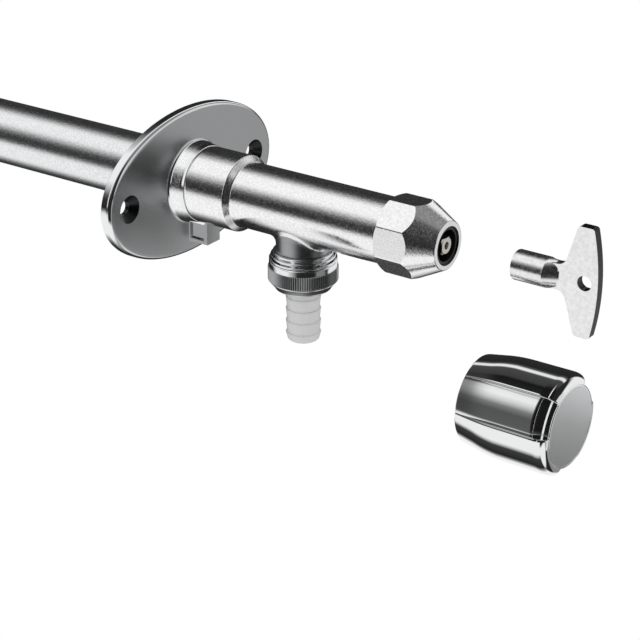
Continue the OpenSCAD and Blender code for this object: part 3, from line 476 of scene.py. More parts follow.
plate_rings = [(FLANGE_BORE_R, FLANGE_BORE_R, 0.0)]
plate_rings += [(FLANGE_HALF_W - 0.5, FLANGE_HALF_H - 0.5, 0.0), (FLANGE_HALF_W, FLANGE_HALF_H, 0.5)]
for i in range(RIM_STEPS + 1):
    a = radians(90 * i / RIM_STEPS)
    inset = RIM_R * (1 - cos(a))
    plate_rings.append((FLANGE_HALF_W - inset, FLANGE_HALF_H - inset, FLANGE_T - RIM_R * (1 - sin(a))))
plate_rings.append((FLANGE_HALF_W - RIM_R - 0.6, FLANGE_HALF_H - RIM_R - 0.6, FLANGE_T))
fillet_mid = (COLLAR_ROOT_R + COLLAR_FILLET, FLANGE_T + COLLAR_FILLET)
plate_rings += [(r, r, x) for r, x in arc(fillet_mid, COLLAR_FILLET, 270, 180, 6)]
# The collar ends in a long polished chamfer and a small round
plate_rings.append((COLLAR_R, COLLAR_R, CHAMFER_X))
plate_rings += [(r, r, x) for r, x in arc((COLLAR_R - 0.8, COLLAR_X - 0.4), 0.4, COLLAR_CHAMFER, 90, 4)]
plate_rings.append((FLANGE_BORE_R, FLANGE_BORE_R, COLLAR_X))
flange = ring_stack(plate_rings, 240)
print("plate and collar", len(flange.faces), "faces")

# %% Flange lug
LUG_X = 16.0
LUG_HALF_W = 4.6
LUG_LOW = -28.0
POCKET_X = (6.2, 13.8)
POCKET_Z = (-26.1, -18.6)
POCKET_DEPTH = 1.9

lug = block((1.0, -LUG_HALF_W, LUG_LOW), (LUG_X, LUG_HALF_W, -TUBE_R - 1))
pockets = []
for side in (-1, 1):
    inner, outer = side * (LUG_HALF_W - POCKET_DEPTH), side * (LUG_HALF_W + 1)
    pocket = block((POCKET_X[0], inner, POCKET_Z[0]), (POCKET_X[1], outer, POCKET_Z[1]))
    bmesh.ops.recalc_face_normals(pocket, faces=pocket.faces)
    pockets.append(pocket)
lug = combine(lug, gather(pockets), "DIFFERENCE")
bmesh.ops.dissolve_limit(lug, angle_limit=radians(1), verts=lug.verts, edges=lug.edges)
bmesh.ops.bevel(lug, geom=list(lug.edges), offset=0.3, segments=2, profile=0.5, affect="EDGES", material=-1)
flange = combine(flange, lug, "UNION")
print("with the lug", len(flange.faces), "faces")

# %% Flange holes
SCREW_Y = 45.0
SCREW_HOLE_R = 3.2
SINK_R = 6.4
SINK_DEPTH = 3.2
SOCKET_ROOM_R = 17.7
CLAMP_X = (FLANGE_T + LUG_X) / 2
CLAMP_HOLE_R = 2.03
# Material slots of the flange
BUFFED, TURNED, SHADED_SINKS = 1, 2, 3

sink_outline = [
    (0, -1), (SCREW_HOLE_R, -1), (SCREW_HOLE_R, FLANGE_T - SINK_DEPTH),
    (SINK_R, FLANGE_T), (SINK_R, 8), (0, 8),
]
sinks = []
# Each countersink is painted with the dark material: painted shade in the hole
for side in (-1, 1):
    sink = lathe(sink_outline, centre=(0, side * SCREW_Y, 0), steps=96)
    paint(sink, SHADED_SINKS, lambda centre, face: True)
    sinks.append(sink)
flange = combine(flange, gather(sinks), "DIFFERENCE")
flange = combine(flange, rod(SOCKET_ROOM_R, COLLAR_X, LUG_X + 2), "DIFFERENCE")
clamp_hole = rod(CLAMP_HOLE_R, LUG_LOW - 2, -TUBE_R + 1, "Z", (CLAMP_X, 0, 0), 32)
flange = combine(flange, clamp_hole, "DIFFERENCE")
print("with its holes", len(flange.faces), "faces")

# %% Flange finishes
BUFFED_RIM = 1.3


def buffed(centre, face):
    """True on the rolled rim, on the collar's end and in the fillet at its root."""
    reach = off_tap(centre)
    out = (centre.y / (FLANGE_HALF_W - BUFFED_RIM)) ** 2 + (centre.z / (FLANGE_HALF_H - BUFFED_RIM)) ** 2
    on_rim = out > 1 and 0.3 < centre.x < FLANGE_T
    on_end = centre.x > CHAMFER_X and reach < COLLAR_R + 0.4
    in_root = FLANGE_T + 0.02 < centre.x < FLANGE_T + COLLAR_FILLET and reach < COLLAR_ROOT_R + 0.7
    return on_rim or on_end or in_root


def collar_side(centre, face):
    """True on the turned side of the collar."""
    beyond_fillet = FLANGE_T + COLLAR_FILLET < centre.x < CHAMFER_X
    return beyond_fillet and COLLAR_R - 0.5 < off_tap(centre) < COLLAR_ROOT_R + 0.3


paint(flange, BUFFED, buffed)
paint(flange, TURNED, collar_side)
flange_piece = finish_piece(
    flange, "wall_flange_casting", "wall_flange", [frosted_chrome, polished_chrome, blasted_chrome, painted_shade_metal],
)
# The body is lit as if the flange were not there, because its boards hang between the two
flange_piece.visible_glossy = False

# %% [markdown]
# ## The tap body
# One casting: a socket for the tube, a barrel, and a short neck that grows out of its underside.
# The barrel is turned. The neck is turned too, round the outlet's own axis, as if the barrel were
# a flat plate, and then its upper rings are lifted on to the barrel's curve.
# That gives the saddle-shaped fillet of a real casting.

# %% Barrel of the body
BODY_R = 14.8
SOCKET_R = 17.4
SOCKET_X = 13.5
SOCKET_FLOOR_X = 34.0
SHOULDER_X = 34.6
BODY_X = 113.6
THREAD_END_X = 126.9
NOSE_THREAD_R = 13.1
WATER_R = 12.0
WATER_FRONT_X = 104.0
GLAND_R = 10.0
TUBE_SEAT_R = TUBE_R + 0.03

barrel = lathe(
    [(TUBE_SEAT_R, SOCKET_X)]
    + arc((SOCKET_R - 0.6, SOCKET_X + 0.6), 0.6, -90, 0, 4)
    + [(SOCKET_R, SOCKET_X + 1.2), (SOCKET_R, SHOULDER_X - 1.0)]
    + arc((SOCKET_R - 0.8, SHOULDER_X - 0.4), 0.8, 0, 52, 6)
    + arc((BODY_R + 0.9, SHOULDER_X + 2.6), 0.9, 232, 180, 6)
    + [(BODY_R, 50.0), (BODY_R, 82.0), (BODY_R, BODY_X - 0.4)]
    + [(BODY_R - 0.4, BODY_X), (NOSE_THREAD_R, BODY_X)]
    + [(NOSE_THREAD_R, THREAD_END_X - 0.8), (NOSE_THREAD_R - 0.8, THREAD_END_X), (GLAND_R, THREAD_END_X)]
    + [(GLAND_R, WATER_FRONT_X), (WATER_R, WATER_FRONT_X), (WATER_R, SOCKET_FLOOR_X)]
    + [(TUBE_SEAT_R, SOCKET_FLOOR_X)],
    steps=288,
)
print("barrel", len(barrel.faces), "faces")

# %% Neck of the body
OUTLET_X = 66.2
NECK_R = 12.1
NECK_LOW = -19.2
NIPPLE_LOW = -20.4
NIPPLE_R = 9.8
PORT_R = 7.5
FILLET_R = 3.2
FILLET_PULL = 0.72
OUTLET = (OUTLET_X, 0, 0)


def off_outlet(point):
    """How far a point lies from the outlet's axis."""
    return sqrt((point.x - OUTLET_X) ** 2 + point.y**2)


# In the flat state the barrel's underside is the plane z = -BODY_R
neck = lathe(
    [(0, NIPPLE_LOW), (NIPPLE_R, NIPPLE_LOW), (NIPPLE_R, NECK_LOW), (NECK_R - 0.3, NECK_LOW)]
    + [(NECK_R, NECK_LOW + 0.3), (NECK_R, -BODY_R - FILLET_R)]
    + arc((NECK_R + FILLET_R, -BODY_R - FILLET_R), FILLET_R, 168, 94, 8)
    + [(NECK_R + FILLET_R, -BODY_R + 0.12), (NECK_R + FILLET_R, -BODY_R + 1.0), (0, -BODY_R + 1.0)],
    axis="Z",
    centre=OUTLET,
    steps=192,
)
for vert in neck.verts:
    along, across, reach = vert.co.x - OUTLET_X, vert.co.y, off_outlet(vert.co)
    if reach < 0.01 or vert.co.z <= NECK_LOW + 0.31:
        continue
    # On the barrel's flanks the fillet is drawn in, as the barrel falls away there
    side = across / reach
    if reach > NECK_R:
        pulled = NECK_R + (reach - NECK_R) * (1 - FILLET_PULL * side**2)
        vert.co.x = OUTLET_X + along * pulled / reach
        vert.co.y = across * pulled / reach
    vert.co.z += BODY_R - sqrt(BODY_R**2 - min(abs(vert.co.y), BODY_R) ** 2)
body = combine(barrel, neck, "UNION")
body = combine(body, rod(PORT_R, NIPPLE_LOW - 1.6, 0, "Z", OUTLET, 72), "DIFFERENCE")


def on_neck(centre, face):
    """True on the neck under its fillet, which is blasted finer than the barrel."""
    return centre.z < -8 and NECK_R - 0.6 < off_outlet(centre) < NECK_R + 0.25


paint(body, 1, on_neck)
finish_piece(body, "tap_body_casting", "tap_body", [blasted_chrome, frosted_chrome])

# %% [markdown]
# ## The nose nut
# An octagonal nut with a cone in front. A lathe makes the cone and the chamfer, and an eight-sided bar
# makes the flats. What both have in common is the nut: the curved edges where flat meets cone
# come out by themselves.

# %% Nose nut
NUT_X = 113.7
NUT_CORNER_X = 127.8
NOSE_X = 141.1
NUT_TURN = 4.4
FLAT_R = 16.2
HALF_FLAT = 22.5
OCTAGON_R = FLAT_R / cos(radians(HALF_FLAT))
NUT_BEVEL = 0.45
NUT_THREAD_R = NOSE_THREAD_R + 0.03
NOSE_RIM_R = 10.6
NOSE_BORE_R = 8.0
NUT_FLOOR_X = 129.2

octagon = bmesh.new()
bmesh.ops.create_cone(octagon, cap_ends=True, segments=8, radius1=OCTAGON_R, radius2=OCTAGON_R, depth=40)
turn_mesh(octagon, HALF_FLAT - NUT_TURN, "Z")
turn_mesh(octagon, 90, "Y")
move_mesh(octagon, ((NUT_X + NOSE_X) / 2, 0, 0))
long_edges = [e for e in octagon.edges if abs(e.verts[0].co.x - e.verts[1].co.x) > 10]
bmesh.ops.bevel(
    octagon, geom=long_edges, offset=NUT_BEVEL, segments=3, profile=0.5, affect="EDGES", material=-1
)
cone = lathe(
    [(NUT_THREAD_R, NUT_X)]
    + bend((FLAT_R - 0.6, NUT_X), (FLAT_R + 0.3, NUT_X), (OCTAGON_R + 0.01, NUT_X + 1.6), 5)
    + [(OCTAGON_R + 0.01, NUT_CORNER_X), (FLAT_R + 0.1, NUT_CORNER_X + 2.2)]
    + arc((NOSE_RIM_R - 0.5, NOSE_X - 0.9), 0.9, 28, 90, 5)
    + [(NOSE_BORE_R + 0.6, NOSE_X), (NOSE_BORE_R, NOSE_X - 0.6), (NOSE_BORE_R, NUT_FLOOR_X)]
    + [(NUT_THREAD_R, NUT_FLOOR_X)],
    steps=288,
)
nut = combine(cone, octagon, "INTERSECT")


def nose_rim(centre, face):
    """True on the polished rim of the nose."""
    return centre.x > NOSE_X - 0.95 and off_tap(centre) < NOSE_RIM_R + 0.4


def nose_bore(centre, face):
    """True in the bore, which is painted dark as painted shade."""
    return centre.x < NOSE_X - 0.1 and off_tap(centre) < NOSE_BORE_R + 0.5


paint(nut, 1, nose_rim)
# The bore gets the dark material: painted shade
paint(nut, 2, nose_bore)
nut_finishes = [blasted_chrome, polished_chrome, painted_shade_metal]
finish_piece(nut, "nose_nut_turned", "nose_nut", nut_finishes, sharp_angle=20)

# %% [markdown]
# ## The outlet
# Under the neck hang three turned rings with air holes behind them, the knurled union nut and the hose tail.
# Everything here is turned round the outlet's axis, so each piece is one lathe with small rounded edges.
# The rings are smooth enough to draw the black and white stripes of the photograph.

# %% Vent housing
RING_R = 15.2
RING_H = 1.0
RING_GROOVE = 0.6
RING_EDGE = 0.28
RING_STEPS_IN = (1.7, 0.7, 0.0)
GROOVE_R = RING_R - 2.5
HOUSING_TOP = NECK_LOW - 0.05
RING_PITCH = RING_H + RING_GROOVE
RINGS_LOW = NECK_LOW - 3 * RING_H - 2 * RING_GROOVE
HOSE_THREAD_R = 13.2
HOUSING_LOW = NECK_LOW - 11.7
GASKET_LOW = HOUSING_LOW - 1.5
TAIL_FLANGE_LOW = GASKET_LOW - 2.1
CARTRIDGE_R = 9.95
VENT_ROOM_R = 10.95
VENT_FLOOR = NECK_LOW - 5.4
VENT_LEVEL = NECK_LOW - 2 * RING_H - 1.5 * RING_GROOVE - 0.05
VENT_COUNT = 8
VENT_HOLE_R = 0.5
VENT_HOLE_L = 3.4
VENT_HOLE_MID = 11.9

housing_outline = [(NIPPLE_R + 0.03, HOUSING_TOP)]
for i, inset in enumerate(RING_STEPS_IN):
    top = HOUSING_TOP - i * RING_PITCH
    low = RINGS_LOW if i == 2 else top - RING_H
    edge_mid_r = RING_R - inset - RING_EDGE
    housing_outline += arc((edge_mid_r, top - RING_EDGE), RING_EDGE, 90, 0, 3)
    housing_outline += arc((edge_mid_r, low + RING_EDGE), RING_EDGE, 0, -90, 3)
    if i < 2:
        housing_outline += [(GROOVE_R, low), (GROOVE_R, low - RING_GROOVE)]
housing_outline += [
    (HOSE_THREAD_R, RINGS_LOW), (HOSE_THREAD_R, HOUSING_LOW + 0.7), (HOSE_THREAD_R - 0.7, HOUSING_LOW),
    (CARTRIDGE_R + 0.03, HOUSING_LOW), (CARTRIDGE_R + 0.03, VENT_FLOOR), (VENT_ROOM_R, VENT_FLOOR),
    (VENT_ROOM_R, NIPPLE_LOW - 0.1), (NIPPLE_R + 0.03, NIPPLE_LOW - 0.1),
]
housing = lathe(housing_outline, axis="Z", centre=OUTLET, steps=192)
air_holes = []
for i in range(VENT_COUNT):
    hole = bmesh.new()
    bmesh.ops.create_cone(
        hole, cap_ends=True, segments=16, radius1=VENT_HOLE_R, radius2=VENT_HOLE_R, depth=VENT_HOLE_L
    )
    turn_mesh(hole, 90, "Y")
    move_mesh(hole, (VENT_HOLE_MID, 0, 0))
    turn_mesh(hole, 360 * (i + 0.5) / VENT_COUNT, "Z")
    move_mesh(hole, (OUTLET_X, 0, VENT_LEVEL))
    air_holes.append(hole)
housing = combine(housing, gather(air_holes), "DIFFERENCE")
finish_piece(housing, "vent_housing_rings", "vent_housing", [turned_chrome])

# %% Union nut
UNION_R = 15.75
UNION_TOP = RINGS_LOW - 0.3
UNION_LOW = UNION_TOP - 13.2
KNURL_LOW = UNION_LOW + 4.0
KNURL_TOP = KNURL_LOW + 6.3
KNURL_COUNT = 96
KNURL_DEPTH = 0.35
CORE_R = UNION_R - KNURL_DEPTH - 0.15
FOOT_R = UNION_R - 3
TAIL_NECK_R = 8.1
UNION_LIP_TOP = TAIL_FLANGE_LOW - 0.05

union = lathe(
    [(TAIL_NECK_R + 0.4, UNION_LIP_TOP), (TAIL_NECK_R + 0.4, UNION_LOW)]
    + arc((FOOT_R - 0.5, UNION_LOW + 0.5), 0.5, -90, -20, 3)
    + [(FOOT_R + 0.1, UNION_LOW + 0.7)]
    + bend((CORE_R - 0.5, KNURL_LOW - 0.9), (CORE_R, KNURL_LOW - 0.5), (CORE_R, KNURL_LOW - 0.2), 4)
    + [(CORE_R, KNURL_LOW), (UNION_R - 0.2, KNURL_LOW), (UNION_R, KNURL_LOW + 0.2)]
    + [(UNION_R, KNURL_TOP - 0.2), (UNION_R - 0.2, KNURL_TOP), (CORE_R, KNURL_TOP)]
    + arc((CORE_R - 0.9, UNION_TOP - 0.9), 0.9, 0, 90, 5)
    + [(HOSE_THREAD_R + 0.05, UNION_TOP), (HOSE_THREAD_R + 0.05, UNION_LIP_TOP)],
    axis="Z",
    centre=OUTLET,
    steps=2 * KNURL_COUNT,
)
for vert in union.verts:
    along, across, reach = vert.co.x - OUTLET_X, vert.co.y, off_outlet(vert.co)
    step = round(degrees(atan2(across, along)) * KNURL_COUNT / 180)
    if reach > CORE_R + 0.05 and step % 2:
        share = (reach - KNURL_DEPTH) / reach
        vert.co.x, vert.co.y = OUTLET_X + along * share, across * share


def on_knurl(centre, face):
    """True on the knurled band."""
    return KNURL_LOW < centre.z < KNURL_TOP and off_outlet(centre) > CORE_R


paint(union, 1, on_knurl)
finish_piece(union, "union_nut_knurled", "union_nut", [turned_chrome, frosted_chrome])

# %% [markdown]
# ## The hose tail
# Moulded in grey plastic with four barbs. Each barb is a ramp that widens upwards and then steps back in,
# so a hose slides on but not off. The steps are small arcs, because moulded edges are never quite sharp.

# %% Hose tail
BARB_R = 7.9
BARB_PITCH = 5.7
BARB_COUNT = 4
BARB_STEP = 0.6
VALLEY_R = BARB_R - BARB_STEP
BARB_TOP = UNION_LOW - 4.3
TAIL_TIP_TOP = BARB_TOP - (BARB_COUNT - 1) * BARB_PITCH
TAIL_LOW = TAIL_TIP_TOP - 4.1
TAIL_BORE_R = 5.2
TAIL_SEAT_R = 7.05
TAIL_SEAT_LOW = VENT_FLOOR - 0.4 - 13 - 0.6

tail_outline = [(TAIL_BORE_R, TAIL_LOW)] + arc((BARB_R - 2.2, TAIL_LOW + 1.6), 1.6, -90, 0, 6)
for i in range(BARB_COUNT):
    top = TAIL_TIP_TOP + i * BARB_PITCH
    tail_outline += [(BARB_R - 0.1, top - 1), (BARB_R, top - 0.35), (BARB_R - 0.12, top - 0.08)]
    tail_outline += [(VALLEY_R + 0.15, top), (VALLEY_R, top + 0.15)]
tail_outline += [
    (VALLEY_R, UNION_LOW - 1.0), (TAIL_NECK_R, UNION_LOW - 0.4), (TAIL_NECK_R, TAIL_FLANGE_LOW),
    (HOSE_THREAD_R - 0.3, TAIL_FLANGE_LOW), (HOSE_THREAD_R - 0.3, GASKET_LOW), (TAIL_SEAT_R, GASKET_LOW),
    (TAIL_SEAT_R, TAIL_SEAT_LOW), (TAIL_BORE_R, TAIL_SEAT_LOW),
]
tail = lathe(tail_outline, axis="Z", centre=OUTLET, steps=128)
finish_piece(tail, "hose_tail_barbed", "hose_tail", [grey_acetal])

# %% [markdown]
# ## The loose key
# A die cast key: a round barrel with a square socket, pressed flat where it runs into a T-shaped plate.
# The plate is an outline filled and extruded. The barrel and its flattened shoulder are one ring stack
# whose sections go from round to a flat oval.

# %% Key plate
KEY_X = 174.5
KEY_BARREL_L = 14.9
KEY_PLATE_H = 48.0
KEY_PLATE_T = 4.2
KEY_FRONT_X = KEY_X + KEY_BARREL_L + 23.5


def key_half_outline():
    """The upper half of the plate's outline, from the neck round the arm to the middle of the front edge."""
    neck_h, neck_r = 5.6, 4.5
    arm_a, tip_r = radians(73), 1.8
    sag, corner_r = 2.9, 1.4
    foot_x, foot_z = KEY_X + KEY_BARREL_L + 13.1, KEY_PLATE_H / 2 - 1.6
    neck_mid = (foot_x + (neck_h + neck_r - foot_z) / tan(arm_a) - neck_r / sin(arm_a), neck_h + neck_r)
    tip_mid = (foot_x + tip_r * sin(arm_a), KEY_PLATE_H / 2 - tip_r)
    edge_r = ((KEY_PLATE_H / 2) ** 2 + sag**2) / (2 * sag)
    edge_a = asin((KEY_PLATE_H / 2 - corner_r) / edge_r)
    edge_mid = (KEY_FRONT_X - edge_r, 0)
    corner = (edge_mid[0] + edge_r * cos(edge_a) - corner_r, edge_r * sin(edge_a))
    points = [(KEY_X + KEY_BARREL_L - 1, neck_h)]
    points += arc(neck_mid, neck_r, -90, degrees(arm_a) - 90, 10)
    points += arc(tip_mid, tip_r, 90 + degrees(arm_a), 90, 6)
    points += arc(corner, corner_r, 90, 10, 6)
    points += arc(edge_mid, edge_r, degrees(edge_a), 0, 16)
    return points


upper = key_half_outline()
outline = upper + [(x, -z) for x, z in reversed(upper[:-1])]
plate = bmesh.new()
rim = [plate.verts.new((x, KEY_PLATE_T / 2, z)) for x, z in outline]
face = plate.faces.new(rim)
grown = bmesh.ops.extrude_face_region(plate, geom=[face])["geom"]
far_side = [g for g in grown if isinstance(g, bmesh.types.BMVert)]
bmesh.ops.translate(plate, vec=(0, -KEY_PLATE_T, 0), verts=far_side)
bmesh.ops.recalc_face_normals(plate, faces=plate.faces)
print("plate", len(plate.faces), "faces")

# %% Key barrel
KEY_BARREL_R = 6.5
SHANK_X = KEY_X + KEY_BARREL_L - 0.4
# Half width, half height and distance of each section where the barrel is pressed flat
SHANK_SECTIONS = [
    (6.5, 6.5, 0.0), (6.3, 6.5, 0.35), (5.9, 6.45, 0.9), (4.9, 6.25, 2.4), (3.9, 5.95, 3.9), (3.0, 5.6, 5.2),
    (2.4, 5.3, 6.1), (2.05, 5.1, 6.8), (1.9, 4.8, 7.2), (0.01, 0.01, 7.2),
]

barrel_ends = [(0.01, 0.0), (KEY_BARREL_R - 0.5, 0.0), (KEY_BARREL_R - 0.15, 0.15), (KEY_BARREL_R, 0.5)]
barrel_rings = [(r, r, KEY_X + x) for r, x in barrel_ends]
barrel_rings += [(half_w, half_h, SHANK_X + x) for half_w, half_h, x in SHANK_SECTIONS]
shank = ring_stack(barrel_rings, 96)
key = combine(shank, plate, "UNION")
print("barrel and plate", len(key.faces), "faces")

# %% Key socket and finish
KEY_HOLE_R = 3.25
KEY_HOLE_X = KEY_FRONT_X - 6.1
KEY_SQUARE_HALF = 3.6
KEY_SQUARE_DEPTH = 14.0
KEY_EDGE = 0.35

key_hole = rod(KEY_HOLE_R, -KEY_PLATE_T, KEY_PLATE_T, "Z", steps=48)
turn_mesh(key_hole, 90, "X")
move_mesh(key_hole, (KEY_HOLE_X, 0, 0))
square = block(
    (KEY_X - 1, -KEY_SQUARE_HALF, -KEY_SQUARE_HALF),
    (KEY_X + KEY_SQUARE_DEPTH, KEY_SQUARE_HALF, KEY_SQUARE_HALF),
)
key = combine(key, gather([key_hole, square]), "DIFFERENCE")


def plate_edge(centre, face):
    """True on the plate's narrow edges and in its hole, which are painted dark."""
    return centre.x > KEY_X + KEY_BARREL_L + 6.5 and abs(face.normal.y) < 0.7


# Painted dark reflection on the plate's edges, and painted shade in its hole
paint(key, 1, plate_edge)
key_finishes = [tumbled_zinc, painted_shade_metal]
finish_piece(key, "socket_key_cast", "socket_key", key_finishes, KEY_EDGE, edge_angle=50)

# %% [markdown]
# ## The knob
# A plated shell: a round grip with three raised lobes that flare from the open end, and in front of the grip,
# between the lobes, a hollow scoop that runs up to the bezel round the cap.
# Each lobe is the same half outline spun through part of a turn. All three are then joined to the grip.

# %% Knob grip
KNOB_DROP = 66.2
KNOB_MID = (0, 0, -KNOB_DROP)
KNOB_X = 158.4
KNOB_FRONT_X = 203.4
KNOB_BACK_R = 19.8
GRIP_R = 20.3
CAP_R = 18.0
CAP_T = 1.7
BEZEL_R = 18.45
SCOOP_X = KNOB_FRONT_X - 7.4
SCOOP_END_X = KNOB_FRONT_X - 1.2
WEB_X = KNOB_X + 28.5
WEB_T = 4.0
WELL_R = 14.0
KNOB_BORE_R = 16.2
KNOB_SCREW_R = 2.3
CAP_SEAT_R = CAP_R + 0.03
CAP_SEAT_X = KNOB_FRONT_X - CAP_T

scoop_l = SCOOP_END_X - SCOOP_X
scoop_depth = GRIP_R - BEZEL_R
scoop_r = (scoop_depth**2 + scoop_l**2) / (2 * scoop_depth)
scoop_a = degrees(asin(scoop_l / scoop_r))
front_edge = KNOB_FRONT_X - 0.1
grip = lathe(
    [(KNOB_BORE_R, KNOB_X)]
    + arc((KNOB_BACK_R - 0.7, KNOB_X + 0.6), 0.6, -90, 0, 4)
    + bend((GRIP_R - 0.2, KNOB_X + 6), (GRIP_R, KNOB_X + 9), (GRIP_R, KNOB_X + 14), 5)
    + [(GRIP_R, SCOOP_X - 8)]
    + arc((BEZEL_R + scoop_r, SCOOP_END_X), scoop_r, 180 + scoop_a, 180, 10)
    + [(BEZEL_R, front_edge - 0.3), (BEZEL_R - 0.12, front_edge), (CAP_SEAT_R, front_edge)]
    + [(CAP_SEAT_R, CAP_SEAT_X), (WELL_R, CAP_SEAT_X), (WELL_R, WEB_X + WEB_T)]
    + [(KNOB_SCREW_R, WEB_X + WEB_T), (KNOB_SCREW_R, WEB_X), (KNOB_BORE_R, WEB_X)],
    centre=KNOB_MID,
    steps=240,
)
print("grip", len(grip.faces), "faces")

# %% Knob lobes
KNOB_R = 22.5
FLARE_X = KNOB_X + 14
LOBE_ROUND_X = KNOB_FRONT_X - 4.4
LOBE_COUNT = 3
LOBE_WIDTH = 74
LOBE_EDGE_R = 1.0
LOBE_TURN = -2
# The lobes reach this far into the grip, which they are joined to
LOBE_ROOT_BACK_R = 17.4
LOBE_ROOT_R = 18.2

flare = (KNOB_R - KNOB_BACK_R) / (FLARE_X - KNOB_X)
lobe_outline = (
    [(LOBE_ROOT_BACK_R, KNOB_X), (KNOB_BACK_R - 0.6, KNOB_X)]
    + [(KNOB_BACK_R - 0.17, KNOB_X + 0.17), (KNOB_BACK_R, KNOB_X + 0.6)]
    + bend((KNOB_R - 0.2 - flare * 5, FLARE_X - 5), (KNOB_R - 0.2, FLARE_X), (KNOB_R - 0.1, FLARE_X + 6), 8)
    + bend((KNOB_R, LOBE_ROUND_X - 1.5), (KNOB_R, KNOB_FRONT_X - 0.9), (BEZEL_R + 0.3, front_edge - 0.08), 12)
    + [(BEZEL_R - 0.2, front_edge - 0.02), (LOBE_ROOT_R, front_edge - 0.05)]
    + [(LOBE_ROOT_R, KNOB_FRONT_X - 3.4)]
)
lobes = []
for i in range(LOBE_COUNT):
    lobe = lathe(lobe_outline, centre=KNOB_MID, steps=2 * LOBE_WIDTH, turn=LOBE_WIDTH)
    middle = sum((v.co for v in lobe.verts), Vector()) / len(lobe.verts) - Vector(KNOB_MID)
    now = degrees(atan2(-middle.y, middle.z))
    # The crown sinks towards each long edge, along a quarter circle
    for vert in lobe.verts:
        across, up = vert.co.y, vert.co.z + KNOB_DROP
        reach = sqrt(across**2 + up**2)
        off_middle = abs((degrees(atan2(-across, up)) - now + 180) % 360 - 180)
        from_edge = reach * radians(max(LOBE_WIDTH / 2 - off_middle, 0))
        if from_edge < LOBE_EDGE_R and reach > BEZEL_R:
            sunk = LOBE_EDGE_R - sqrt(LOBE_EDGE_R**2 - (LOBE_EDGE_R - from_edge) ** 2)
            share = 1 - sunk * min((reach - BEZEL_R) / LOBE_EDGE_R, 1) / reach
            vert.co.y, vert.co.z = across * share, up * share - KNOB_DROP
    wanted = -LOBE_TURN - 360 / LOBE_COUNT * i
    turn_mesh(lobe, wanted - now, "X", KNOB_MID)
    bmesh.ops.recalc_face_normals(lobe, faces=lobe.faces)
    lobes.append(lobe)
knob = combine(grip, gather(lobes), "UNION")
finish_piece(knob, "knob_shell_plated", "knob_shell", [mirror_chrome])

# %% Knob cap
CAP_BACK_X = CAP_SEAT_X + 0.05
CAP_RIM_X = CAP_BACK_X - 2.4
CAP_RIM_R = WELL_R - 0.05
CAP_RIM_T = 1.45
# The slightly domed face: radius and distance behind the knob's front
CAP_FACE = [
    (CAP_R, 0.5), (CAP_R - 0.12, 0.3), (CAP_R - 0.35, 0.19), (CAP_R - 0.6, 0.17),
    (CAP_R * 0.75, 0.12), (CAP_R / 2, 0.06), (CAP_R / 4, 0.02), (0, 0),
]

cap = lathe(
    [(0, CAP_BACK_X), (CAP_RIM_R - CAP_RIM_T, CAP_BACK_X), (CAP_RIM_R - CAP_RIM_T, CAP_RIM_X)]
    + [(CAP_RIM_R, CAP_RIM_X), (CAP_RIM_R, CAP_BACK_X), (CAP_R, CAP_BACK_X)]
    + [(r, KNOB_FRONT_X - behind) for r, behind in CAP_FACE],
    centre=KNOB_MID,
    steps=192,
)
paint(cap, 1, lambda centre, face: sqrt(centre.y**2 + (centre.z + KNOB_DROP) ** 2) > CAP_R - 0.62)
finish_piece(cap, "knob_cap_disc", "knob_cap", [satin_disc, polished_chrome])

# %% [markdown]
# ## The spring of the check valve
# A coil of wire follows one formula: each step turns a small ring round the axis and lifts it a little.

# %% Check spring
SPRING_TURNS = 6
SPRING_STEPS = 16
WIRE_R = 0.28
WIRE_SIDES = 8

spring_low, spring_high = box_mm("check_spring")
spring_h = spring_high.z - spring_low.z
coil_r = spring_high.y - WIRE_R
spring_x = (spring_low.x + spring_high.x) / 2
step_count = SPRING_TURNS * SPRING_STEPS
lift = (spring_h - 2 * WIRE_R) / step_count
spring = bmesh.new()
bmesh.ops.create_circle(spring, cap_ends=False, radius=WIRE_R, segments=WIRE_SIDES)
turn_mesh(spring, 90, "X")
move_mesh(spring, (spring_x + coil_r, 0, spring_low.z + WIRE_R))
bmesh.ops.spin(
    spring, geom=list(spring.verts) + list(spring.edges), cent=(spring_x, 0, 0), axis=(0, 0, 1),
    dvec=(0, 0, lift), angle=2 * pi * SPRING_TURNS, steps=step_count,
)
bmesh.ops.holes_fill(spring, edges=[e for e in spring.edges if e.is_boundary])
coil = finish_piece(
    spring, "check_spring_coil", "check_spring", [ground_stainless], sharp_angle=80
)
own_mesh(coil)

# %% [markdown]
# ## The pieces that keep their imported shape
# The parts inside, and the few that show only at an edge, are right as they are and get a finish.

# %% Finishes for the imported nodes
FINISH_OF_SLOT = {
    "tube_chrome": drawn_chrome,
    "cast_chrome": blasted_chrome,
    "bright_chrome": polished_chrome,
    "key_zinc": tumbled_zinc,
    "satin_cap": satin_disc,
    "stainless": ground_stainless,
    "nickelled_brass": nickelled_brass,
    "brass": turned_brass,
    "black_plastic": black_nylon,
    "slip_plastic": white_acetal,
    "grey_plastic": grey_acetal,
    "rubber": nitrile_rubber,
}
for subpart in frame["record"]["subparts"]:
    node = nodes[subpart["node"]]
    node.data.materials.clear()
    node.data.materials.append(FINISH_OF_SLOT[subpart["material_slot"]])

# %% [markdown]
# ## The studio
# Chrome has no colour of its own: it shows the room.
# A studio for chrome hangs long pale boards over and under the piece and leaves black gaps between them,
# and those gaps draw the dark lines along each cylinder.
# Here the world does that work for reflections, so it is a set of bands round the tap's axis.
# Light that falls on matt surfaces comes from the same world, evenly, and the background stays white.


# %% Boards made of nodes
def fill_ramp(ramp, stops):
    """Sets a colour ramp's stops from (angle, brightness) pairs, with the full circle as its length."""
    elements = ramp.color_ramp.elements
    while len(elements) > 1:
        elements.remove(elements[-1])
    for i, (angle, level) in enumerate(stops):
        stop = elements[0] if i == 0 else elements.new((angle + 180) / 360)
        stop.position = (angle + 180) / 360
        stop.color = grey(level)


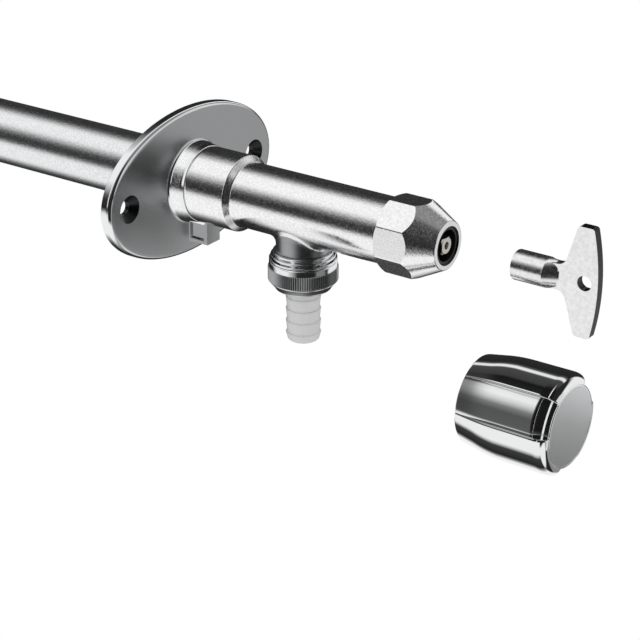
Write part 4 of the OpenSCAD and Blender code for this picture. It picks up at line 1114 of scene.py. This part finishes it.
def boards_by_angle(tree, across, up, stops):
    """A colour ramp over the angle round an axis, from up towards across."""
    angle = add(tree, "ShaderNodeMath", {"operation": "ARCTAN2"}, i0=across, i1=up)
    share = add(tree, "ShaderNodeMapRange", Value=angle.outputs[0], i1=-pi, i2=pi, i3=0.0, i4=1.0)
    boards = add(tree, "ShaderNodeValToRGB", Fac=share.outputs[0])
    fill_ramp(boards, stops)
    return boards.outputs["Color"]


def lay_boards(tree, colour, boards):
    """Lays boards over a colour in turn. A board is its own colour and its limits, which are multiplied:
    a number, a node's output, or a soft edge (output, where it is clear, where it covers)."""
    smooth = {"interpolation_type": "SMOOTHSTEP"}
    for board, limits in boards:
        cover = 1.0
        for limit in limits:
            if isinstance(limit, tuple):
                value, clear, full = limit
                edge = {"Value": value, "i1": clear, "i2": full, "i3": 0.0, "i4": 1.0}
                limit = add(tree, "ShaderNodeMapRange", smooth, **edge).outputs[0]
            cover = add(tree, "ShaderNodeMath", {"operation": "MULTIPLY"}, i0=cover, i1=limit).outputs[0]
        over = add(tree, "ShaderNodeMix", {"data_type": "RGBA"}, Factor=cover, i6=colour, i7=board)
        colour = over.outputs[2]
    return colour


# %% World light
# Each stop is an angle in degrees from straight up, positive towards the camera's side, and a brightness
BANDS = [
    (-180, 0.32), (-172, 0.14), (-163, 0.04), (-150, 0.03), (-44, 0.02), (-30, 0.06), (-16, 0.5), (-4, 1.0),
    (36, 1.0), (50, 0.5), (62, 0.12), (72, 0.03), (92, 0.02), (98, 0.2), (106, 0.9), (116, 1.0),
    (164, 1.0), (175, 0.5), (180, 0.32),
]
BACKGROUND = 1.0
EVEN_LIGHT = 0.95
FAR_CORNER = 0.75
NEAR_CORNER = 0.02
CEILING = 0.25
LAMP_RING_X = -0.125
LAMP_RING_HALF = 0.125
LAMP_RING = 1.0


def build_world():
    """White for the camera, the boards for mirrors, and an even light for all that is matt."""
    world = bpy.data.worlds.new("studio")
    bpy.context.scene.world = world
    world.use_nodes = True
    tree = world.node_tree
    tree.nodes.clear()
    look = add(tree, "ShaderNodeTexCoord").outputs["Generated"]
    x, y, z = add(tree, "ShaderNodeSeparateXYZ", Vector=look).outputs
    towards = add(tree, "ShaderNodeMath", {"operation": "MULTIPLY"}, i0=y, i1=-1.0).outputs[0]
    bands = boards_by_angle(tree, towards, z, BANDS)
    ring = add(tree, "ShaderNodeMath", {"operation": "COMPARE"}, i0=x, i1=LAMP_RING_X, i2=LAMP_RING_HALF)
    corners = [
        # Surfaces that face out of the wall see the end of the room, which is grey on the far side
        (grey(FAR_CORNER), [(x, 0.05, 0.30), (y, -0.05, 0.25)]),
        # A lamp ring stands where the tap ends, and draws the bright line on every turned shoulder
        (grey(LAMP_RING), [ring.outputs[0], (z, -0.05, 0.15)]),
        # The upper side of the nose's cone shows a grey ceiling
        (grey(CEILING), [(x, 0.02, 0.10), (z, 0.5, 0.75)]),
        # On the camera's side the end of the room is dark
        (grey(NEAR_CORNER), [(x, 0.22, 0.38), (towards, -0.05, 0.25), (z, -0.62, -0.42)]),
    ]
    mirrored = lay_boards(tree, bands, corners)
    rays = add(tree, "ShaderNodeLightPath")
    for_mirrors = (mirrored, [rays.outputs["Is Glossy Ray"]])
    for_camera = (grey(BACKGROUND), [rays.outputs["Is Camera Ray"]])
    shown = lay_boards(tree, grey(EVEN_LIGHT), [for_mirrors, for_camera])
    light = add(tree, "ShaderNodeBackground", Color=shown, Strength=1.0)
    output = add(tree, "ShaderNodeOutputWorld")
    tree.links.new(light.outputs[0], output.inputs["Surface"])


build_world()

# %% [markdown]
# ## Light tents for the knob and the outlet
# The knob and the turned rings are much better mirrors than the castings, and a photographer gives such
# pieces their own curtain of boards. Each curtain is a tube of pale and black stripes round the piece,
# shining inwards. Only reflections see it, and from outside it is clear, so it never hides anything.


# %% A tent of boards
def on_tent(direction, tent_r, mirror_r, camera_angle):
    """Where on a tent a ray mirrored by a cylinder in this direction ends, as an angle round the axis."""
    tilt = (direction - camera_angle) / 2
    return direction - degrees(asin(mirror_r / tent_r * sin(radians(tilt))))


def wrapped(stops):
    """The stops in rising order, with angles between -180 and 180."""
    return sorted(((angle + 180) % 360 - 180, level) for angle, level in stops)


def build_tent(name, axis, through, low, high, tent_r, colour_of):
    """A tube of boards round an axis, from low to high; colour_of colours it by the place off the axis."""
    bm = bmesh.new()
    bmesh.ops.create_cone(bm, cap_ends=False, segments=96, radius1=tent_r, radius2=tent_r, depth=high - low)
    move_mesh(bm, (0, 0, (low + high) / 2))
    if axis == "X":
        turn_mesh(bm, 90, "Y")
    move_mesh(bm, through)
    bmesh.ops.scale(bm, vec=(MM, MM, MM), verts=bm.verts)
    bmesh.ops.recalc_face_normals(bm, faces=bm.faces)
    bmesh.ops.reverse_faces(bm, faces=bm.faces)
    tent = as_object(bm, name)
    material, tree, inside_only, place = new_material(name + "_boards", "ShaderNodeMixShader")
    off_axis = add(tree, "ShaderNodeVectorMath", {"operation": "SUBTRACT"}, i0=place, i1=Vector(through) * MM)
    glow = add(tree, "ShaderNodeEmission", Color=colour_of(tree, off_axis.outputs[0]), Strength=1.0)
    clear = add(tree, "ShaderNodeBsdfTransparent")
    side = add(tree, "ShaderNodeNewGeometry")
    for i, source in enumerate((side.outputs["Backfacing"], glow.outputs[0], clear.outputs[0])):
        tree.links.new(source, inside_only.inputs[i])
    tent.data.materials.append(material)
    tent.visible_camera = False
    tent.visible_diffuse = False
    tent.visible_shadow = False
    tent.visible_transmission = False


# %% Knob tent
TENT_R = 36.0
KNOB_TENT_X = (110.0, 250.0)
KNOB_CAMERA_ANGLE = 60
# Direction of the mirrored ray round the knob's axis, from straight up to the camera, and brightness
TENT_BANDS = [
    (-119, 0.03), (-56, 0.02), (-48, 0.10), (-44, 0.9), (-38, 0.9), (-34, 0.07), (-10, 0.05), (-5, 0.01),
    (17, 0.02), (21, 0.9), (34, 0.95), (46, 0.7), (60, 0.22), (74, 0.10), (100, 0.11), (106, 0.12),
    (110, 0.95), (144, 0.95), (156, 0.05), (184, 0.02), (192, 0.3), (202, 0.95), (240, 0.95),
]
# The same for the boards in front of the knob, which the lobes' ends and the cap show
FRONT_BANDS = [
    (-180, 0.25), (-146, 0.34), (-118, 0.5), (-92, 0.9), (-40, 0.95), (-25, 0.02),
    (104, 0.02), (110, 0.95), (150, 0.95), (158, 0.02),
]
# Where along the axis a board ends, in metres: clear at the first value, full at the second
OPEN_END = (0.166, 0.148)
OPEN_END_DIMMING = 0.75
FLAG_EDGE = (0.1880, 0.1890)
SLIT_X = 0.1985
SLIT_HALF = 0.0008
FRONT_EDGE = (0.205, 0.208)


def knob_boards(tree, off_axis):
    """Stripes along the grip, with boards across them for its open end, its hollow and its front."""
    x, y, z = add(tree, "ShaderNodeSeparateXYZ", Vector=off_axis).outputs
    towards = add(tree, "ShaderNodeMath", {"operation": "MULTIPLY"}, i0=y, i1=-1.0).outputs[0]
    stops = [(on_tent(way, TENT_R, KNOB_R, KNOB_CAMERA_ANGLE), level) for way, level in TENT_BANDS]
    sides = boards_by_angle(tree, towards, z, wrapped(stops))
    front = boards_by_angle(tree, towards, z, FRONT_BANDS)
    slit = add(tree, "ShaderNodeMath", {"operation": "COMPARE"}, i0=x, i1=SLIT_X, i2=SLIT_HALF).outputs[0]
    grip_side = [(towards, 0.0, 0.012), (z, -0.006, 0.004)]
    across = [
        # The white board over the grip fades out towards the open end
        (grey(0.05), [(x, *OPEN_END), *grip_side, OPEN_END_DIMMING]),
        # A black flag makes the hollow between the lobes dark, with one slit of light
        (grey(0.01), [(x, *FLAG_EDGE), *grip_side]),
        (grey(0.95), [slit, *grip_side]),
        (front, [(x, *FRONT_EDGE)]),
    ]
    return lay_boards(tree, sides, across)


build_tent("knob_tent", "X", KNOB_MID, *KNOB_TENT_X, TENT_R, knob_boards)

# %% Outlet tent
OUTLET_TENT_Z = (-56.0, -16.5)
# Angles round the outlet from the camera's direction, positive to the right, and brightness
OUTLET_BANDS = [
    (-180, 0.02), (-98, 0.02), (-80, 0.95), (-44, 0.95), (-16, 0.02), (32, 0.01), (37, 0.22), (60, 0.22),
    (65, 0.02), (71, 0.02), (77, 0.9), (130, 0.9), (140, 0.02),
]


def outlet_boards(tree, off_axis):
    """Upright stripes round the outlet, counted from the side that faces the photographer."""
    right = (cos(CAMERA_TURN), sin(CAMERA_TURN), 0)
    near = (sin(CAMERA_TURN), -cos(CAMERA_TURN), 0)
    across, up = [
        add(tree, "ShaderNodeVectorMath", {"operation": "DOT_PRODUCT"}, i0=off_axis, i1=way).outputs["Value"]
        for way in (right, near)
    ]
    return boards_by_angle(tree, across, up, OUTLET_BANDS)


build_tent("outlet_tent", "Z", OUTLET, *OUTLET_TENT_Z, TENT_R, outlet_boards)

# %% [markdown]
# ## The floor
# The tap hangs well above a pale floor, far enough that its shadow falls outside the picture.
# Reflections look past the floor to the boards of the studio.

# %% Pale floor
FLOOR_DROP = 0.30
FLOOR_SIZE = 6.0


def build_floor():
    """A sheet of white paper, which the camera sees as pure white."""
    bm = bmesh.new()
    bmesh.ops.create_grid(bm, x_segments=1, y_segments=1, size=FLOOR_SIZE)
    move_mesh(bm, (0, 0, -FLOOR_DROP))
    floor = as_object(bm, "floor")
    material, tree, for_camera, place = new_material("floor_paper", "ShaderNodeMixShader")
    paper = add(tree, "ShaderNodeBsdfPrincipled", Base_Color=linear("#f4f4f4"), Roughness=0.9)
    white = add(tree, "ShaderNodeEmission", Color=grey(1.0), Strength=1.0)
    rays = add(tree, "ShaderNodeLightPath")
    for i, source in enumerate((rays.outputs["Is Camera Ray"], paper.outputs[0], white.outputs[0])):
        tree.links.new(source, for_camera.inputs[i])
    floor.data.materials.append(material)
    floor.visible_glossy = False


build_floor()
